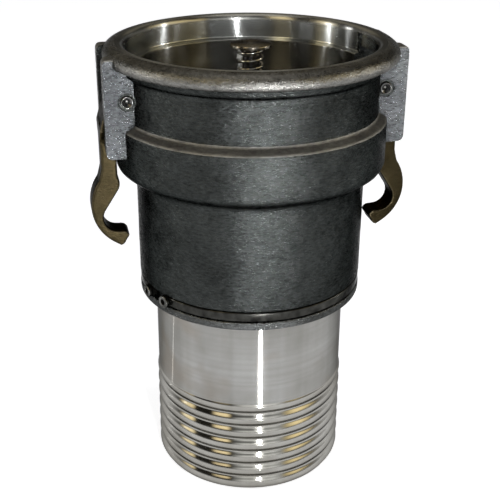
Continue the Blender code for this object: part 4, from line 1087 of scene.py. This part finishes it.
def make_spring():
    """The spring as one round wire in even turns, pressed shorter by the poppet."""
    low = SPRING_LOW + SPRING_WIRE / 2
    high = SPRING_HIGH - SPRING_WIRE / 2
    steps = SPRING_TURNS * SPRING_TURN_STEPS
    bm = bmesh.new()
    rings = []
    for step in range(steps + 1):
        angle = 2 * math.pi * step / SPRING_TURN_STEPS
        height = low + (high - low) * step / steps
        outward = Vector((math.cos(angle), math.sin(angle), 0))
        centre = outward * SPRING_RADIUS + Vector((0, 0, height))
        ring = []
        for corner in range(SPRING_SIDES):
            around = 2 * math.pi * corner / SPRING_SIDES
            offset = outward * math.cos(around) + Vector((0, 0, math.sin(around)))
            ring.append(bm.verts.new(centre + offset * SPRING_WIRE / 2))
        rings.append(ring)
    for first, second in zip(rings, rings[1:]):
        for corner in range(SPRING_SIDES):
            after = (corner + 1) % SPRING_SIDES
            bm.faces.new((first[corner], first[after], second[after], second[corner]))
    bm.faces.new(rings[0])
    bm.faces.new(rings[-1])
    spring = mesh_piece("spring", bm, [wire])
    mounted(spring, "coupler", "spring_steel", "poppet_spring")
    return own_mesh(spring)


make_button()
make_spring()


# Pieces that stay as the frame has them

for node_name, material in (
    # The stem takes the dark pin steel, which is partly painted shade from the spring and the button round
    # it.
    ("poppet_stem", pin_steel),
    ("mouth_gasket", rubber),
    ("guide_spider", inner_metal),
    ("spider_screw_1", steel),
    ("spider_screw_2", steel),
    ("spider_screw_3", steel),
    ("stem_bush", bearing),
    ("spring_seat", steel),
    ("valve_disc", inner_metal),
    ("disc_seal", rubber),
    ("seal_retainer", steel),
    ("lock_washer", steel),
    ("stem_nut", steel),
    ("swivel_o_ring_upper", rubber),
    ("swivel_o_ring_lower", rubber),
    ("wear_ring", bearing),
):
    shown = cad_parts[node_name]
    shown.data.materials.clear()
    shown.data.materials.append(material)


# Studio

FLOOR_HALF_SIZE = 3.0
FLOOR_DROP = 0.2 * MM
FLOOR_COLOUR = (0.8, 0.8, 0.8, 1.0)
FLOOR_GLOW = 0.62

# What the camera, soft light and metal see of the room
WHITE = (1.0, 1.0, 1.0)
SOFT_LIGHT = (0.45, 0.45, 0.46)
LOW_WHITE = (0.9, 0.9, 0.9)
DIM_ROOM = (0.03, 0.028, 0.022)
OVERHEAD = (0.92, 0.88, 0.8)
LOW_FADE = (0.03, 0.15)
OVERHEAD_FADE = (0.88, 0.95)

# Azimuth and half width in degrees, lower and upper height, and colour
ROOM_PANELS = (
    (225.0, 9.0, 0.3, 0.8, (2.6, 2.15, 1.3)),
    (180.0, 9.0, 0.15, 0.6, (2.4, 2.0, 1.2)),
    (-25.0, 28.0, 0.2, 0.5, (2.2, 1.8, 1.0)),
    (90.0, 40.0, 0.3, 0.8, (0.4, 0.36, 0.28)),
    (-90.0, 24.0, 0.1, 0.36, (1.5, 1.52, 1.5)),
)
PANEL_FADE = 0.05
PANEL_FADE_START = 0.7
PANEL_FADE_END = 1.4

STRIP_HEIGHT = 1.0 * MM

# Name, azimuth in degrees, near and far end, width and power
STRIPS = (
    ("near_strip", -90, 0.14, 0.34, 0.003, 0.006),
    ("far_strip", -90, 0.4, 0.9, 0.012, 8.5),
    ("left_strip", 163, 0.12, 0.4, 0.003, 0.008),
)

# Name, place, the point that it faces, width, height and power
LAMPS = (
    ("front_high", (0.0, -1.2, 0.44), (0, 0, 0.2), 0.02, 0.22, 5.0),
    ("left_high", (-1.2, 0.06, 0.48), (0, 0, 0.2), 0.012, 0.3, 1.2),
    ("left_low", (-1.2, 0.06, 0.4), (0, 0, 0.22), 0.01, 0.1, 1.0),
    ("left_back", (-1.05, 0.57, 0.42), (0, 0, 0.15), 0.01, 0.15, 0.8),
    ("right_high", (1.18, -0.2, 0.48), (0, 0, 0.2), 0.012, 0.3, 1.2),
    ("right_low", (1.18, -0.2, 0.4), (0, 0, 0.22), 0.01, 0.1, 1.2),
)

CAMERA_SENSOR = 36.0
CAMERA_LENS = 69.2
CAMERA_SHIFT = (0.032, -0.0156)
CAMERA_PLACE = (-0.1068, -0.4654, 0.3386)
CAMERA_TURN = (math.radians(65.965), 0, -math.radians(11.918))


def make_floor():
    """A pale floor that glows for the camera and for metal, and is dimmed where the object shades it."""
    bm = bmesh.new()
    bmesh.ops.create_grid(bm, x_segments=1, y_segments=1, size=FLOOR_HALF_SIZE)
    material = bpy.data.materials.new("floor_paper")
    material.use_nodes = True
    tree = material.node_tree
    tree.nodes.remove(tree.nodes["Principled BSDF"])
    output = tree.nodes["Material Output"]
    paper = node(tree, "ShaderNodeBsdfDiffuse", {"Color": FLOOR_COLOUR})
    glow = node(tree, "ShaderNodeEmission", {"Strength": seen_directly(tree, FLOOR_GLOW)})
    both = node(tree, "ShaderNodeAddShader", {0: paper.outputs[0], 1: glow.outputs[0]})
    tree.links.new(both.outputs[0], output.inputs["Surface"])
    floor = mesh_piece("floor", bm, [material])
    floor.location.z = -FLOOR_DROP


def seen_directly(tree, strength):
    """A strength that only camera, glossy and transmission rays see."""
    path = node(tree, "ShaderNodeLightPath").outputs
    seen = sums(tree, "MAXIMUM", path["Is Camera Ray"], path["Is Glossy Ray"])
    seen = sums(tree, "MAXIMUM", seen, path["Is Transmission Ray"])
    return sums(tree, "MULTIPLY", seen, strength)


def panel(tree, way, azimuth, half_width, low, high):
    """How much of a soft-edged panel of the room lies in the way of a ray."""
    toward = tuple(on_circle(1.0, azimuth))
    level = vector_sums(tree, "MULTIPLY", way, (1.0, 1.0, 0.0))["Vector"]
    level = vector_sums(tree, "NORMALIZE", level)["Vector"]
    along = vector_sums(tree, "DOT_PRODUCT", level, toward)["Value"]
    outer = math.cos(math.radians(PANEL_FADE_END * half_width))
    inner = math.cos(math.radians(PANEL_FADE_START * half_width))
    height = node(tree, "ShaderNodeSeparateXYZ", {"Vector": way}).outputs["Z"]
    across = span(tree, along, outer, inner)
    above = span(tree, height, low - PANEL_FADE, low + PANEL_FADE)
    below = span(tree, height, high + PANEL_FADE, high - PANEL_FADE)
    return sums(tree, "MULTIPLY", across, sums(tree, "MULTIPLY", above, below))


def make_world():
    """White to the camera. Metal sees white low down, a dim warm room with panels, and a pale ceiling."""
    world = bpy.data.worlds.new("studio")
    bpy.context.scene.world = world
    world.use_nodes = True
    tree = world.node_tree
    background = tree.nodes["Background"]
    way = node(tree, "ShaderNodeTexCoord").outputs["Generated"]
    height = node(tree, "ShaderNodeSeparateXYZ", {"Vector": way}).outputs["Z"]
    path = node(tree, "ShaderNodeLightPath").outputs
    room = mix(tree, span(tree, height, *LOW_FADE), LOW_WHITE, DIM_ROOM)
    for azimuth, half_width, low, high, colour in ROOM_PANELS:
        room = mix(tree, panel(tree, way, azimuth, half_width, low, high), room, colour)
    room = mix(tree, span(tree, height, *OVERHEAD_FADE), room, OVERHEAD)
    lit = mix(tree, path["Is Glossy Ray"], SOFT_LIGHT, room)
    seen = sums(tree, "MAXIMUM", path["Is Camera Ray"], path["Is Transmission Ray"])
    tree.links.new(mix(tree, seen, lit, WHITE), background.inputs["Color"])


def area_light(name, width, height, power):
    """A rectangular light."""
    data = bpy.data.lights.new(name, "AREA")
    data.shape = "RECTANGLE"
    data.size = width
    data.size_y = height
    data.energy = power
    light = bpy.data.objects.new(name, data)
    bpy.context.scene.collection.objects.link(light)
    return light


def add_strip(name, azimuth, near, far, width, power):
    """A narrow light on the floor, hidden from the camera, running away from the object and facing up."""
    strip = area_light(name, far - near, width, power)
    strip.location = on_circle((near + far) / 2, azimuth, STRIP_HEIGHT)
    strip.rotation_euler = (math.pi, 0, math.radians(azimuth))
    strip.visible_camera = False


def add_lamp(name, place, target, width, height, power):
    """A narrow upright light that faces a point."""
    lamp = area_light(name, width, height, power)
    lamp.location = place
    lamp.rotation_euler = (Vector(target) - Vector(place)).to_track_quat("-Z", "Y").to_euler()


def make_camera():
    """A camera where the photograph was taken from."""
    data = bpy.data.cameras.new("camera")
    data.sensor_width = CAMERA_SENSOR
    data.lens = CAMERA_LENS
    data.shift_x, data.shift_y = CAMERA_SHIFT
    camera = bpy.data.objects.new("camera", data)
    camera.location = CAMERA_PLACE
    camera.rotation_euler = CAMERA_TURN
    bpy.context.scene.collection.objects.link(camera)
    bpy.context.scene.camera = camera


make_floor()
make_world()
for strip_values in STRIPS:
    add_strip(*strip_values)
for lamp_values in LAMPS:
    add_lamp(*lamp_values)
make_camera()
bpy.context.scene.view_settings.view_transform = "Standard"
